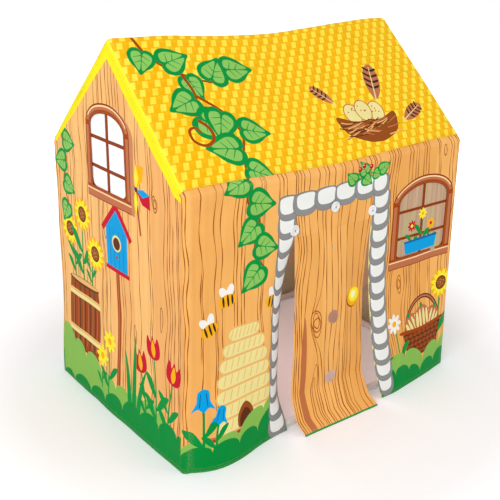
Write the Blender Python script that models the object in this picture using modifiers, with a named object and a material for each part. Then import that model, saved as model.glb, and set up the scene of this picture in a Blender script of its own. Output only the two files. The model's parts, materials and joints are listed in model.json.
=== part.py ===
"""A child's play tent shaped like a small wooden house.

A frame of push-fit plastic tubes stands on four floor corners. A cloth cover hangs over it: one roof
sheet, a front and a back wall, two gable walls, film windows, and a door flap cut out of the front
wall, which lifts from its top edge and folds at half height.

Lengths are in metres. X runs along the front wall, Y from the front to the back, and Z is up.
"""
import math

import bmesh
import bpy
from mathutils import Matrix, Vector

# House, over the cloth
HOUSE_LENGTH = 1.000
HOUSE_DEPTH = 0.700
EAVE_HEIGHT = 0.760
RIDGE_HEIGHT = 1.090

# Cloth and how it hangs
CLOTH = 0.001
SKIN_CLEARANCE = 0.0006
SEAM_GAP = 0.0004
HEM_CLEARANCE = 0.001
ROOF_SEAM_UP = 0.010
RIDGE_SAG = 0.020
EAVE_SAG = 0.012
ROOF_BELLY = 0.006
HEM_FLARE = 0.012
HEM_FLARE_TOP = 0.340
HEM_BULGE = 0.036
HEM_BULGE_TOP = 0.360
HEM_BULGE_POWER = 0.58
SIDE_BULGE = 0.040
SIDE_BULGE_TOP = 0.390
JAMB_BULGE_TOP = 0.582
BACK_BOW = 0.006
GABLE_BOW = 0.004

# Tubes and the fittings that join them
TUBE_RADIUS = 0.010
TUBE_WALL = 0.0012
FIT = 0.0004
SOCKET_WALL = 0.0020
SOCKET_REACH = 0.045
SOCKET_STOP = 0.016
BALL_PROUD = 0.001
FOOT_LIFT = 0.001
COUPLER_LENGTH = 0.050
COUPLER_RIB = 0.0015
TUBE_END_GAP = 0.0006

# Door flap
DOOR_CENTRE_X = -0.0145
DOOR_WIDTH = 0.287
DOOR_TOP = 0.582
DOOR_FOLD = 0.352
DOOR_SLIT = 0.0015
HINGE_GAP = 0.0006
DOOR_BOW = 0.017
DOOR_LEFT_OUT = 0.004
DOOR_RIGHT_IN = 0.011
RIGHT_IN_SHARE = 0.72
DOOR_TAPER_LEFT = 0.005
DOOR_TAPER_RIGHT = 0.0065
TOE_REACH = 0.062
TOE_SKEW = 0.004
TOE_HEIGHT = 0.112
TOE_POWER = 1.28
TOE_SHIFT = 0.015
TOE_SHIFT_TOP = 0.044

# Door jambs, the free edges of the front wall beside the flap
LEFT_CURL = 0.040
LEFT_CURL_WIDTH = 0.095
LEFT_PULL = 0.012
RIGHT_CURL = 0.010
RIGHT_CURL_WIDTH = 0.070
RIGHT_PULL = 0.047
RIGHT_PULL_TOP = 0.555
RIGHT_PULL_POWER = 3.0
CURL_FOOT = 0.110

# Windows
FRONT_WINDOW_WIDTH = 0.205
FRONT_WINDOW_RISE = 0.215
FRONT_WINDOW_SILL = 0.430
FRONT_WINDOW_ARCH = 0.047
FRONT_WINDOW_INSET = 0.050
GABLE_WINDOW_WIDTH = 0.175
GABLE_WINDOW_RISE = 0.210
GABLE_WINDOW_SILL = 0.679
GABLE_WINDOW_ARCH = 0.040
GABLE_WINDOW_OFFSET = 0.0165
FILM = 0.0006
FILM_GAP = 0.0004
FILM_MARGIN = 0.012

# Snap discs over the door, and the fixings on the flap
DISC_RADIUS = 0.0155
DISC_THICKNESS = 0.0022
DISC_RING = 0.0010
DISC_UP = 0.023
TOP_DISC_UP = 0.061
TRIM_GAP = 0.0004
RIVET_RADIUS = 0.0018
RIVET_HEAD_RADIUS = 0.0045
RIVET_HEAD = 0.0012
RIVET_CLEARANCE = 0.0005
STUD_HEAD_RADIUS = 0.0060
STUD_DROP = 0.053
PATCH_RADIUS = 0.020
PATCH_THICKNESS = 0.0010
UPPER_PATCH_HEIGHT = 0.322
LOWER_PATCH_HEIGHT = 0.132

# Facets
TUBE_SIDES = 12
SOCKET_SIDES = 16
CORNER_STEPS = 4
EAVE_STEPS = 2
RIDGE_STEPS = 4
SAG_STEPS = 4
DISC_SIDES = 20
RIVET_SIDES = 10
ARCH_STEPS = 10
CUT_OVERRUN = 0.010
MERGE = 0.00001

# Worked out from the sizes above
SLOPE = math.atan2(RIDGE_HEIGHT - EAVE_HEIGHT, HOUSE_DEPTH / 2)
BORE_RADIUS = (TUBE_RADIUS + FIT) / math.cos(math.pi / SOCKET_SIDES)
SOCKET_RADIUS = BORE_RADIUS + SOCKET_WALL
BALL_RADIUS = SOCKET_RADIUS + BALL_PROUD
CORNER_RADIUS = BALL_RADIUS + SKIN_CLEARANCE + CLOTH
HALF_LENGTH = HOUSE_LENGTH / 2
HALF_DEPTH = HOUSE_DEPTH / 2
POST_X = HALF_LENGTH - CORNER_RADIUS
POST_Y = HALF_DEPTH - CORNER_RADIUS
FLOOR_AXIS_Z = BALL_RADIUS + FOOT_LIFT
EAVE_AXIS_Z = EAVE_HEIGHT + CORNER_RADIUS * (math.tan(SLOPE) - 1 / math.cos(SLOPE))
RIDGE_AXIS_Z = RIDGE_HEIGHT - CORNER_RADIUS / math.cos(SLOPE)
SLOPE_LENGTH = POST_Y / math.cos(SLOPE)
DOOR_LEFT = DOOR_CENTRE_X - DOOR_WIDTH / 2
DOOR_RIGHT = DOOR_CENTRE_X + DOOR_WIDTH / 2
FRONT_WINDOW_X = HALF_LENGTH - FRONT_WINDOW_INSET - FRONT_WINDOW_WIDTH / 2

# Colours as red, green and blue from 0 to 1, each with the roughness of its finish
WHITE_PLASTIC = ((0.85, 0.85, 0.84), 0.45)
CLEAR_PLASTIC = ((0.80, 0.82, 0.84), 0.25)
DARK_PLASTIC = ((0.12, 0.12, 0.13), 0.50)
WOOD_CLOTH = ((0.86, 0.52, 0.18), 0.75)
ROOF_CLOTH = ((0.95, 0.66, 0.05), 0.70)
WINDOW_FILM = ((0.82, 0.83, 0.82), 0.35)
LOOP_PATCH = ((0.42, 0.30, 0.22), 0.95)

LEFT_RIGHT = (("left", -1), ("right", 1))
FRONT_BACK = (("front", -1), ("back", 1))


# Shapes of the cloth


def fade(height, top):
    """A smooth fall from 1 at height 0 to 0 at the top, and 0 above it."""
    left = 1 - min(max(height / top, 0), 1)
    return left * left * (3 - 2 * left)


def spaced(first, last, count):
    """Evenly spaced values from the first to the last, in this many steps."""
    return [first + (last - first) * step / count for step in range(count + 1)]


def joined(*runs):
    """Runs of values one after another, without the repeated ends."""
    values = list(runs[0])
    for run in runs[1:]:
        values.extend(run[1:])
    return values


def sag_share(x):
    """How far a rail has sagged at x: 0 inside its end sockets, 1 at midspan."""
    mouth = POST_X - SOCKET_REACH
    return math.cos(math.pi * x / (2 * mouth)) ** 2 if abs(x) < mouth else 0


def curl_share(height_share):
    """How far a jamb has curled at a share of the door's height: most between knee and waist."""
    power = 4 if height_share < 1 / 2 else 2
    return max(1 - abs(2 * height_share - 1) ** power, 0)


def left_of_door(x, z):
    """Outward and sideways move of the front wall's cloth between the left post and the door."""
    run = max((x + POST_X) / (DOOR_LEFT + POST_X), 0)
    near = max(1 - (DOOR_LEFT - x) / LEFT_CURL_WIDTH, 0)
    curl = curl_share(z / DOOR_TOP)
    bulge = HEM_BULGE * math.sin(math.pi * run ** HEM_BULGE_POWER) ** 2 * fade(z, HEM_BULGE_TOP)
    outward = bulge - LEFT_CURL * near ** 2 * curl * (1 - fade(z, CURL_FOOT))
    return outward, -LEFT_PULL * near * curl


def right_of_door(x, z):
    """Outward and sideways move of the front wall's cloth between the door and the right post."""
    run = (x - DOOR_RIGHT) / (POST_X - DOOR_RIGHT)
    near = max(1 - (x - DOOR_RIGHT) / RIGHT_CURL_WIDTH, 0)
    flat_from = FRONT_WINDOW_X - FRONT_WINDOW_WIDTH / 2 - FILM_MARGIN
    over = min((x - DOOR_RIGHT) / (flat_from - DOOR_RIGHT), 1)
    top = JAMB_BULGE_TOP + (SIDE_BULGE_TOP - JAMB_BULGE_TOP) * over
    curl = curl_share(z / DOOR_TOP) * (1 - fade(z, CURL_FOOT))
    outward = SIDE_BULGE * math.cos(math.pi * run / 2) * fade(z, top) - RIGHT_CURL * near ** 2 * curl
    pull = max(1 - z / RIGHT_PULL_TOP, 0) ** RIGHT_PULL_POWER
    return outward, RIGHT_PULL * (1 - run) ** 2 * pull


def front_shift(x, z):
    """Outward and sideways move of the front wall's cloth at a point of its plane."""
    if z >= DOOR_TOP:
        return 0, 0
    if x <= DOOR_LEFT:
        return left_of_door(x, z)
    if x >= DOOR_RIGHT:
        return right_of_door(x, z)
    return 0, 0


def back_shift(x, z):
    """Outward and sideways move of the back wall's cloth: drawn in a little between the rails."""
    run = math.cos(math.pi * x / (2 * POST_X))
    return -BACK_BOW * run * math.sin(math.pi * z / EAVE_AXIS_Z), 0


def flared(point):
    """Spread a wall's point along X towards the hem."""
    share = point.x / HALF_LENGTH
    return point + Vector((share * HEM_FLARE * fade(point.z, HEM_FLARE_TOP), 0, 0))


def door_outward(across, z):
    """How far the flap hangs out from the wall's plane, across from 0 at its left edge to 1."""
    fall = (DOOR_TOP - z) / DOOR_TOP
    waist = math.sin(math.pi * fall)
    right_in = DOOR_RIGHT_IN * math.sin(math.pi * min(fall / RIGHT_IN_SHARE, 1))
    edges = (1 - across) * DOOR_LEFT_OUT * waist - across * right_in
    kick = (TOE_REACH - TOE_SKEW * (1 - across)) * max(1 - z / TOE_HEIGHT, 0) ** TOE_POWER
    return DOOR_BOW * 4 * across * (1 - across) * waist + edges + kick


def door_point(across, z):
    """A point of the flap's outer face in house space."""
    waist = math.sin(math.pi * (DOOR_TOP - z) / DOOR_TOP)
    left = DOOR_LEFT + DOOR_SLIT + DOOR_TAPER_LEFT * waist
    right = DOOR_RIGHT - DOOR_SLIT - DOOR_TAPER_RIGHT * waist
    x = left + (right - left) * across + TOE_SHIFT * fade(z, TOE_SHIFT_TOP)
    return Vector((x, -HALF_DEPTH - door_outward(across, z), z))


DOOR_SHARES = spaced(0, 1, 8)
HOUSE_CENTRE_Y = max(door_outward(share, HEM_CLEARANCE) for share in DOOR_SHARES) / 2
FOLD_OUT = max(door_outward(share, DOOR_FOLD) for share in DOOR_SHARES)
LIFT_POINT = Vector((0, -HALF_DEPTH, DOOR_TOP))
FOLD_POINT = Vector((0, -HALF_DEPTH - FOLD_OUT, DOOR_FOLD))


# Scene


def start_empty():
    """Remove what a new file holds and make the two collections."""
    for item in list(bpy.data.objects):
        bpy.data.objects.remove(item, do_unlink=True)
    parts = bpy.data.collections.new("play_tent")
    cutters = bpy.data.collections.new("cutters")
    bpy.context.scene.collection.children.link(parts)
    bpy.context.scene.collection.children.link(cutters)
    return parts, cutters


def make_empty(name, location, parent=None):
    """An empty that carries parts, placed in its parent's space."""
    empty = bpy.data.objects.new(name, None)
    empty.location = location
    empty.parent = parent
    PARTS.objects.link(empty)
    return empty


PARTS, CUTTERS = start_empty()
HOUSE = make_empty("house_centre", (0, HOUSE_CENTRE_Y, 0))
LIFT_AXIS = make_empty("door_lift_axis", LIFT_POINT, HOUSE)
FOLD_AXIS = make_empty("door_fold_axis", FOLD_POINT - LIFT_POINT, LIFT_AXIS)
ON_LIFT = {"parent": LIFT_AXIS, "pivot": LIFT_POINT}
ON_FOLD = {"parent": FOLD_AXIS, "pivot": FOLD_POINT}


def finish(name, look):
    """A plain material of one colour and roughness, named for its part."""
    colour, roughness = look
    material = bpy.data.materials.new(name)
    material.use_nodes = True
    shader = material.node_tree.nodes["Principled BSDF"]
    shader.inputs["Base Color"].default_value = (*colour, 1)
    shader.inputs["Roughness"].default_value = roughness
    shader.inputs["Metallic"].default_value = 0
    return material


def add_part(name, data, look, at=Vector(), turn=(0, 0, 0), parent=HOUSE, pivot=Vector()):
    """Put a mesh or curve on its parent, at a place that is given in house space."""
    part = bpy.data.objects.new(name, data)
    part.parent = parent
    part.location = at - pivot
    part.rotation_euler = turn
    data.materials.clear()
    data.materials.append(finish(name, look))
    PARTS.objects.link(part)
    return part


def add_cutter(name, data, at=Vector(), turn=(0, 0, 0)):
    """A shape in house space that only cuts or joins others."""
    cutter = bpy.data.objects.new(name, data)
    cutter.parent = HOUSE
    cutter.location = at
    cutter.rotation_euler = turn
    cutter.hide_render = True
    cutter.display_type = "WIRE"
    CUTTERS.objects.link(cutter)
    return cutter


def cut(part, cutter, operation="DIFFERENCE"):
    """Give a part a Boolean with one cutter."""
    boolean = part.modifiers.new(cutter.name, "BOOLEAN")
    boolean.operation = operation
    boolean.object = cutter
    boolean.solver = "EXACT"


def mesh_from(bm, name):
    """Turn a bmesh into a mesh and free it."""
    mesh = bpy.data.meshes.new(name)
    bm.to_mesh(mesh)
    bm.free()
    return mesh


def baked(part):
    """The evaluated mesh of an object."""
    bpy.context.view_layer.update()
    return bpy.data.meshes.new_from_object(part.evaluated_get(bpy.context.evaluated_depsgraph_get()))


def rod(name, start, end, radius, sides=SOCKET_SIDES):
    """The mesh of a closed straight rod between two points."""
    along = Vector(end) - Vector(start)
    turn = Vector((0, 0, 1)).rotation_difference(along.normalized()).to_matrix().to_4x4()
    bm = bmesh.new()
    bmesh.ops.create_cone(bm, cap_ends=True, segments=sides, radius1=radius, radius2=radius,
                          depth=along.length)
    bm.transform(Matrix.Translation((Vector(start) + Vector(end)) / 2) @ turn)
    return mesh_from(bm, name)


def add_turned(name, outline, look, sides, closed=False, **place):
    """A solid turned about its own Z from an outline of (radius, height) points."""
    bm = bmesh.new()
    verts = [bm.verts.new((radius, 0, height)) for radius, height in outline]
    ends = list(zip(verts, verts[1:])) + ([(verts[-1], verts[0])] if closed else [])
    for first, second in ends:
        bm.edges.new((first, second))
    part = add_part(name, mesh_from(bm, name), look, **place)
    screw = part.modifiers.new("turn", "SCREW")
    screw.steps = sides
    screw.render_steps = sides
    screw.use_merge_vertices = True
    screw.merge_threshold = MERGE
    return part


# Frame


def add_tube(name, points):
    """A hollow tube along the points."""
    curve = bpy.data.curves.new(name, "CURVE")
    curve.dimensions = "3D"
    curve.bevel_depth = TUBE_RADIUS
    curve.bevel_resolution = TUBE_SIDES // 4 - 1
    spline = curve.splines.new("POLY")
    spline.points.add(len(points) - 1)
    for knot, point in zip(spline.points, points):
        knot.co = (*point, 1)
    tube = add_part(name, curve, WHITE_PLASTIC)
    wall = tube.modifiers.new("wall", "SOLIDIFY")
    wall.thickness = TUBE_WALL
    wall.offset = -1


def fitting_mesh(name, arms, foot=0):
    """A ball with one socket along each arm, centred on zero, and a flat foot this far below it."""
    bm = bmesh.new()
    bmesh.ops.create_uvsphere(bm, u_segments=SOCKET_SIDES, v_segments=SOCKET_SIDES // 2,
                              radius=BALL_RADIUS)
    body = add_part(name, mesh_from(bm, name), WHITE_PLASTIC)
    centre = Vector()
    solids = [rod(name, centre, arm * SOCKET_REACH, SOCKET_RADIUS) for arm in arms]
    if foot:
        solids.append(rod(name, centre, Vector((0, 0, -foot)), SOCKET_RADIUS))
    bores = [rod(name, arm * SOCKET_STOP, arm * (SOCKET_REACH + CUT_OVERRUN), BORE_RADIUS)
             for arm in arms]
    helpers = []
    for data, operation in [(s, "UNION") for s in solids] + [(b, "DIFFERENCE") for b in bores]:
        helper = add_cutter(f"{name}_{len(helpers)}", data)
        cut(body, helper, operation)
        helpers.append(helper)
    mesh = baked(body)
    for item in helpers + [body]:
        bpy.data.objects.remove(item, do_unlink=True)
    return mesh


def mirrored(mesh, flip_x, flip_y):
    """A copy of a mesh, mirrored where a sign is -1, with its faces still pointing out."""
    copy = mesh.copy()
    copy.transform(Matrix.Diagonal((flip_x, flip_y, 1, 1)))
    if flip_x * flip_y < 0:
        copy.flip_normals()
    return copy


def along_slope(distance, side):
    """The point of a rafter's axis this far up from the eave, on the front (-1) or the back (1)."""
    return Vector((0, side * (POST_Y - distance * math.cos(SLOPE)),
                   EAVE_AXIS_Z + distance * math.sin(SLOPE)))


def build_fittings():
    """Four floor corners, four eave corners and two ridge joints, each shape drawn once."""
    along = Vector((1, 0, 0))
    across = Vector((0, 1, 0))
    up = Vector((0, 0, 1))
    rise = Vector((0, math.cos(SLOPE), math.sin(SLOPE)))
    fall = Vector((0, math.cos(SLOPE), -math.sin(SLOPE)))
    floor_mesh = fitting_mesh("floor_corner", (along, across, up), FLOOR_AXIS_Z)
    eave_mesh = fitting_mesh("eave_corner", (along, rise, -up))
    ridge_mesh = fitting_mesh("ridge_joint", (along, fall, -rise))
    for side, out_x in LEFT_RIGHT:
        for face, out_y in FRONT_BACK:
            post = Vector((out_x * POST_X, out_y * POST_Y, 0))
            add_part(f"floor_corner_{face}_{side}", mirrored(floor_mesh, -out_x, -out_y),
                     WHITE_PLASTIC, at=post + up * FLOOR_AXIS_Z)
            add_part(f"eave_corner_{face}_{side}", mirrored(eave_mesh, -out_x, -out_y),
                     WHITE_PLASTIC, at=post + up * EAVE_AXIS_Z)
        add_part(f"ridge_joint_{side}", mirrored(ridge_mesh, -out_x, 1), WHITE_PLASTIC,
                 at=Vector((out_x * POST_X, 0, RIDGE_AXIS_Z)))


def coupler_outline():
    """Closed outline of a sleeve with a rib at mid-length that stops both tubes."""
    half = COUPLER_LENGTH / 2
    rib = COUPLER_RIB / 2
    inner = TUBE_RADIUS - TUBE_WALL
    return [(SOCKET_RADIUS, half), (SOCKET_RADIUS, -half), (BORE_RADIUS, -half), (BORE_RADIUS, -rib),
            (inner, -rib), (inner, rib), (BORE_RADIUS, rib), (BORE_RADIUS, half)]


def build_split_rail(name, y, z, sag):
    """A rail along X in two tubes that meet in a coupler at midspan, lower there by the sag."""
    end = POST_X - SOCKET_STOP - TUBE_END_GAP
    middle = COUPLER_RIB / 2 + TUBE_END_GAP
    coupler_mouth = COUPLER_LENGTH / 2
    stations = (end, middle)
    if sag:
        bend = spaced(POST_X - SOCKET_REACH, coupler_mouth, SAG_STEPS)
        stations = joined((end, bend[0]), bend, (coupler_mouth, middle))
    for side, out_x in LEFT_RIGHT:
        add_tube(f"{name}_{side}", [Vector((out_x * x, y, z - sag * sag_share(x))) for x in stations])
    add_turned(f"{name}_coupler", coupler_outline(), WHITE_PLASTIC, SOCKET_SIDES, closed=True,
               at=Vector((0, y, z - sag)), turn=(0, math.pi / 2, 0))


def build_frame():
    """Every fitting, tube and coupler."""
    build_fittings()
    for face, out_y in FRONT_BACK:
        build_split_rail(f"{face}_floor_rail", out_y * POST_Y, FLOOR_AXIS_Z, 0)
        build_split_rail(f"{face}_eave_rail", out_y * POST_Y, EAVE_AXIS_Z, EAVE_SAG)
    build_split_rail("ridge_pole", 0, RIDGE_AXIS_Z, RIDGE_SAG)
    inset = SOCKET_STOP + TUBE_END_GAP
    for side, out_x in LEFT_RIGHT:
        gable = Vector((out_x * POST_X, 0, 0))
        low = Vector((0, 0, FLOOR_AXIS_Z))
        reach = Vector((0, POST_Y - inset, 0))
        add_tube(f"{side}_floor_rail", (gable + low - reach, gable + low + reach))
        for face, out_y in FRONT_BACK:
            post = gable + Vector((0, out_y * POST_Y, 0))
            add_tube(f"{face}_{side}_post", (post + Vector((0, 0, FLOOR_AXIS_Z + inset)),
                                             post + Vector((0, 0, EAVE_AXIS_Z - inset))))
            add_tube(f"{face}_{side}_rafter", (gable + along_slope(inset, out_y),
                                               gable + along_slope(SLOPE_LENGTH - inset, out_y)))


# Cloth cover


def add_sheet(name, grid, look, skip=None, **place):
    """Cloth over a grid of outer points, by columns from left to right as seen from outside."""
    bm = bmesh.new()
    verts = [[bm.verts.new(point) for point in column] for column in grid]
    for i, (left, right) in enumerate(zip(verts, verts[1:])):
        for j in range(len(left) - 1):
            if not (skip and skip(i, j)):
                bm.faces.new((left[j], right[j], right[j + 1], left[j + 1]))
    bmesh.ops.remove_doubles(bm, verts=bm.verts, dist=MERGE)
    unused = [vert for vert in bm.verts if not vert.link_faces]
    bmesh.ops.delete(bm, geom=unused, context="VERTS")
    part = add_part(name, mesh_from(bm, name), look, **place)
    thicken = part.modifiers.new("cloth", "SOLIDIFY")
    thicken.thickness = CLOTH
    thicken.offset = -1
    thicken.use_even_offset = True
    return part


def with_corners(values):
    """Columns of a sheet: a quarter turn at its left end, the values, and one at its right end."""
    turns = spaced(math.pi / 2, 0, CORNER_STEPS)[:-1]
    left = [(-POST_X, -turn) for turn in turns]
    right = [(POST_X, turn) for turn in reversed(turns)]
    return left + [(value, 0) for value in values] + right


def wall_grid(out_y, columns, heights, shift):
    """Grid of the front (-1) or back (1) wall, seen from outside.

    The cloth turns round the posts at both ends, hangs straight to the eave, rolls over the eave
    rail and ends a little way up the slope.
    """
    lean = math.pi / 2 - SLOPE
    up_slope = Vector((0, -math.cos(SLOPE), math.sin(SLOPE)))
    grid = []
    for base, turn in columns:
        drop = EAVE_SAG * sag_share(base)
        column = []
        for z in heights:
            outward, sideways = shift(base, z) if turn == 0 else (0, 0)
            risen = max(z - DOOR_TOP, 0) / (EAVE_AXIS_Z - DOOR_TOP)
            point = Vector((base + sideways, POST_Y + outward, z - drop * risen))
            column.append(flared(point + rolled(turn, 0)))
        for roll in spaced(0, lean, EAVE_STEPS)[1:]:
            column.append(Vector((base, POST_Y, EAVE_AXIS_Z - drop)) + rolled(turn, roll))
        column.append(column[-1] + up_slope * (ROOF_SEAM_UP - SEAM_GAP))
        grid.append([Vector((-out_y * point.x, out_y * point.y, point.z)) for point in column])
    return grid


def rolled(turn, roll):
    """From a fitting's centre out to the cloth, turned round the post and rolled over the eave."""
    return CORNER_RADIUS * Vector((math.sin(turn), math.cos(turn) * math.cos(roll),
                                   math.cos(turn) * math.sin(roll)))


def build_front_wall():
    """The front wall, with its doorway, window hole and the holes for the snap discs' rivets."""
    curl_from = DOOR_LEFT - LEFT_CURL_WIDTH
    curl_to = DOOR_RIGHT + RIGHT_CURL_WIDTH
    columns = with_corners(joined(
        spaced(-POST_X, curl_from, 5), spaced(curl_from, DOOR_LEFT, 4), spaced(DOOR_LEFT, DOOR_RIGHT, 4),
        spaced(DOOR_RIGHT, curl_to, 3), spaced(curl_to, POST_X, 6)))
    heights = joined(spaced(HEM_CLEARANCE, DOOR_TOP, 11), spaced(DOOR_TOP, EAVE_AXIS_Z, 3))
    door_columns = [i for i, (x, _) in enumerate(columns[:-1])
                    if x > DOOR_LEFT - MERGE and columns[i + 1][0] < DOOR_RIGHT + MERGE]

    def in_doorway(i, j):
        return i in door_columns and heights[min(j + 1, len(heights) - 1)] < DOOR_TOP + MERGE

    wall = add_sheet("front_wall", wall_grid(-1, columns, heights, front_shift), WOOD_CLOTH, in_doorway)
    window = arch_outline(FRONT_WINDOW_WIDTH, FRONT_WINDOW_RISE, FRONT_WINDOW_ARCH, 0)
    sill = Vector((FRONT_WINDOW_X, -HALF_DEPTH, FRONT_WINDOW_SILL))
    cut(wall, add_cutter("front_window_cut", prism("front_window_cut", window), sill, FACING_FRONT))
    for name, x, z in disc_places():
        cut(wall, rivet_hole(name, Vector((x, -HALF_DEPTH, z))))


def build_back_wall():
    """The plain back wall."""
    columns = with_corners(spaced(-POST_X, POST_X, 10))
    heights = joined(spaced(HEM_CLEARANCE, DOOR_TOP, 4), spaced(DOOR_TOP, EAVE_AXIS_Z, 2))
    add_sheet("back_wall", wall_grid(1, columns, heights, back_shift), WOOD_CLOTH)


def gable_grid(out_x):
    """Grid of a gable wall, seen from outside, between the turned ends of the other sheets."""
    half = POST_Y - SEAM_GAP
    grid = []
    for across in spaced(-half, half, 8):
        top = EAVE_AXIS_Z + math.tan(SLOPE) * (POST_Y - abs(across)) - SEAM_GAP / math.cos(SLOPE)
        column = []
        for z in spaced(HEM_CLEARANCE, top, 8):
            bow = GABLE_BOW * math.cos(math.pi * across / (2 * half)) * fade(z, HEM_FLARE_TOP)
            column.append(flared(Vector((out_x * (HALF_LENGTH + bow), out_x * across, z))))
        grid.append(column)
    return grid


def build_gable_walls():
    """Both gable walls with their window holes."""
    outline = arch_outline(GABLE_WINDOW_WIDTH, GABLE_WINDOW_RISE, GABLE_WINDOW_ARCH, 0)
    for side, out_x in LEFT_RIGHT:
        wall = add_sheet(f"{side}_gable_wall", gable_grid(out_x), WOOD_CLOTH)
        sill = Vector((out_x * HALF_LENGTH, GABLE_WINDOW_OFFSET, GABLE_WINDOW_SILL))
        name = f"{side}_window_cut"
        cut(wall, add_cutter(name, prism(name, outline), sill, FACING_GABLE))


def roof_stations():
    """Places down the roof's section from front to back: axis point, turn of the normal, sag."""
    front = spaced(ROOF_SEAM_UP + SEAM_GAP, SLOPE_LENGTH, 5)
    lean = math.pi / 2 - SLOPE
    stations = [(along_slope(up, -1), lean, up / SLOPE_LENGTH) for up in front]
    for turn in spaced(lean, math.pi - lean, RIDGE_STEPS)[1:-1]:
        stations.append((along_slope(SLOPE_LENGTH, 1), turn, 1))
    stations += [(along_slope(up, 1), math.pi - lean, up / SLOPE_LENGTH) for up in reversed(front)]
    return stations


def build_roof():
    """One sheet from eave to eave over the ridge, turned down over the rafters at both gables."""
    grid = []
    for base, turn in with_corners(spaced(-POST_X, POST_X, 10)):
        sag = sag_share(base)
        column = []
        for axis, normal_turn, share in roof_stations():
            normal = Vector((0, -math.cos(normal_turn), math.sin(normal_turn)))
            drop = (EAVE_SAG + (RIDGE_SAG - EAVE_SAG) * share) * sag
            belly = ROOF_BELLY * 4 * share * (1 - share) * sag
            out = CORNER_RADIUS * (normal * math.cos(turn) + Vector((math.sin(turn), 0, 0)))
            column.append(axis + Vector((base, 0, -drop)) + out - normal * belly)
        grid.append(column)
    add_sheet("roof_sheet", grid, ROOF_CLOTH)


# Windows, door flap and its fixings

FACING_FRONT = (math.pi / 2, 0, 0)
FACING_GABLE = (math.pi / 2, 0, math.pi / 2)


def arch_outline(width, rise, arch, margin):
    """Outline of a window with a low arched head, grown by a margin, from the middle of its sill."""
    half = width / 2 + margin
    spring = rise - arch
    head = [(half * math.cos(angle), spring + (arch + margin) * math.sin(angle))
            for angle in spaced(0, math.pi, ARCH_STEPS)]
    return [(-half, -margin), (half, -margin)] + head


def prism(name, outline):
    """A closed prism on an outline, running the cutting overrun both ways."""
    bm = bmesh.new()
    face = bm.faces.new([bm.verts.new((x, y, -CUT_OVERRUN)) for x, y in outline])
    made = bmesh.ops.extrude_face_region(bm, geom=[face])["geom"]
    moved = [item for item in made if isinstance(item, bmesh.types.BMVert)]
    bmesh.ops.translate(bm, verts=moved, vec=Vector((0, 0, 2 * CUT_OVERRUN)))
    bmesh.ops.recalc_face_normals(bm, faces=bm.faces)
    return mesh_from(bm, name)


def add_film(name, outline, at, turn):
    """A flat window film with its middle at this place."""
    curve = bpy.data.curves.new(name, "CURVE")
    curve.dimensions = "2D"
    curve.fill_mode = "BOTH"
    curve.extrude = FILM / 2
    spline = curve.splines.new("POLY")
    spline.points.add(len(outline) - 1)
    for knot, (x, y) in zip(spline.points, outline):
        knot.co = (x, y, 0, 1)
    spline.use_cyclic_u = True
    add_part(name, curve, WINDOW_FILM, at=at, turn=turn)


def build_films():
    """The window films, sewn behind the three window holes."""
    depth = CLOTH + FILM_GAP + FILM / 2
    outline = arch_outline(FRONT_WINDOW_WIDTH, FRONT_WINDOW_RISE, FRONT_WINDOW_ARCH, FILM_MARGIN)
    add_film("front_window_film", outline,
             Vector((FRONT_WINDOW_X, depth - HALF_DEPTH, FRONT_WINDOW_SILL)), FACING_FRONT)
    outline = arch_outline(GABLE_WINDOW_WIDTH, GABLE_WINDOW_RISE, GABLE_WINDOW_ARCH, FILM_MARGIN)
    for side, out_x in LEFT_RIGHT:
        add_film(f"{side}_window_film", outline,
                 Vector((out_x * (HALF_LENGTH - depth), GABLE_WINDOW_OFFSET, GABLE_WINDOW_SILL)),
                 FACING_GABLE)


def disc_places():
    """The snap discs: at the top end of each slit, and on the lintel over the flap's middle."""
    return (("left", DOOR_LEFT, DOOR_TOP + DISC_UP), ("right", DOOR_RIGHT, DOOR_TOP + DISC_UP),
            ("top", DOOR_CENTRE_X, DOOR_TOP + TOP_DISC_UP))


def rivet_hole(name, point):
    """A cutter for a rivet's hole through cloth that faces the front."""
    reach = Vector((0, CUT_OVERRUN, 0))
    name = f"{name}_rivet_hole"
    hole = rod(name, point - reach, point + reach, RIVET_RADIUS + RIVET_CLEARANCE, RIVET_SIDES)
    return add_cutter(name, hole)


def rivet_outline(head_radius, stack):
    """Outline of a rivet from its front head to its back head, through a stack this thick."""
    front = stack + TRIM_GAP
    back = -CLOTH - 2 * TRIM_GAP
    return [(0, front + RIVET_HEAD), (head_radius * 3 / 4, front + RIVET_HEAD),
            (head_radius, front + RIVET_HEAD / 2), (head_radius, front), (RIVET_RADIUS, front),
            (RIVET_RADIUS, back), (RIVET_HEAD_RADIUS, back), (RIVET_HEAD_RADIUS, back - RIVET_HEAD),
            (0, back - RIVET_HEAD)]


def disc_outline():
    """Closed outline of a snap disc with a boss and a raised ring, by shares of its radius."""
    hole = RIVET_RADIUS + RIVET_CLEARANCE
    proud = DISC_THICKNESS + DISC_RING
    ring_shares = ((0.30, proud), (0.36, DISC_THICKNESS), (0.60, DISC_THICKNESS), (0.70, proud),
                   (0.80, DISC_THICKNESS), (0.94, DISC_THICKNESS), (1.00, DISC_THICKNESS / 2))
    outline = [(hole, proud)] + [(DISC_RADIUS * share, height) for share, height in ring_shares]
    return outline + [(DISC_RADIUS, 0), (hole, 0)]


def build_discs():
    """Three snap discs, each held to the front wall by a rivet."""
    for name, x, z in disc_places():
        at = Vector((x, -HALF_DEPTH - TRIM_GAP, z))
        add_turned(f"door_disc_{name}", disc_outline(), CLEAR_PLASTIC, DISC_SIDES, closed=True,
                   at=at, turn=FACING_FRONT)
        outline = rivet_outline(RIVET_HEAD_RADIUS, DISC_THICKNESS + DISC_RING)
        add_turned(f"door_rivet_{name}", outline, DARK_PLASTIC, RIVET_SIDES, at=at, turn=FACING_FRONT)


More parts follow.
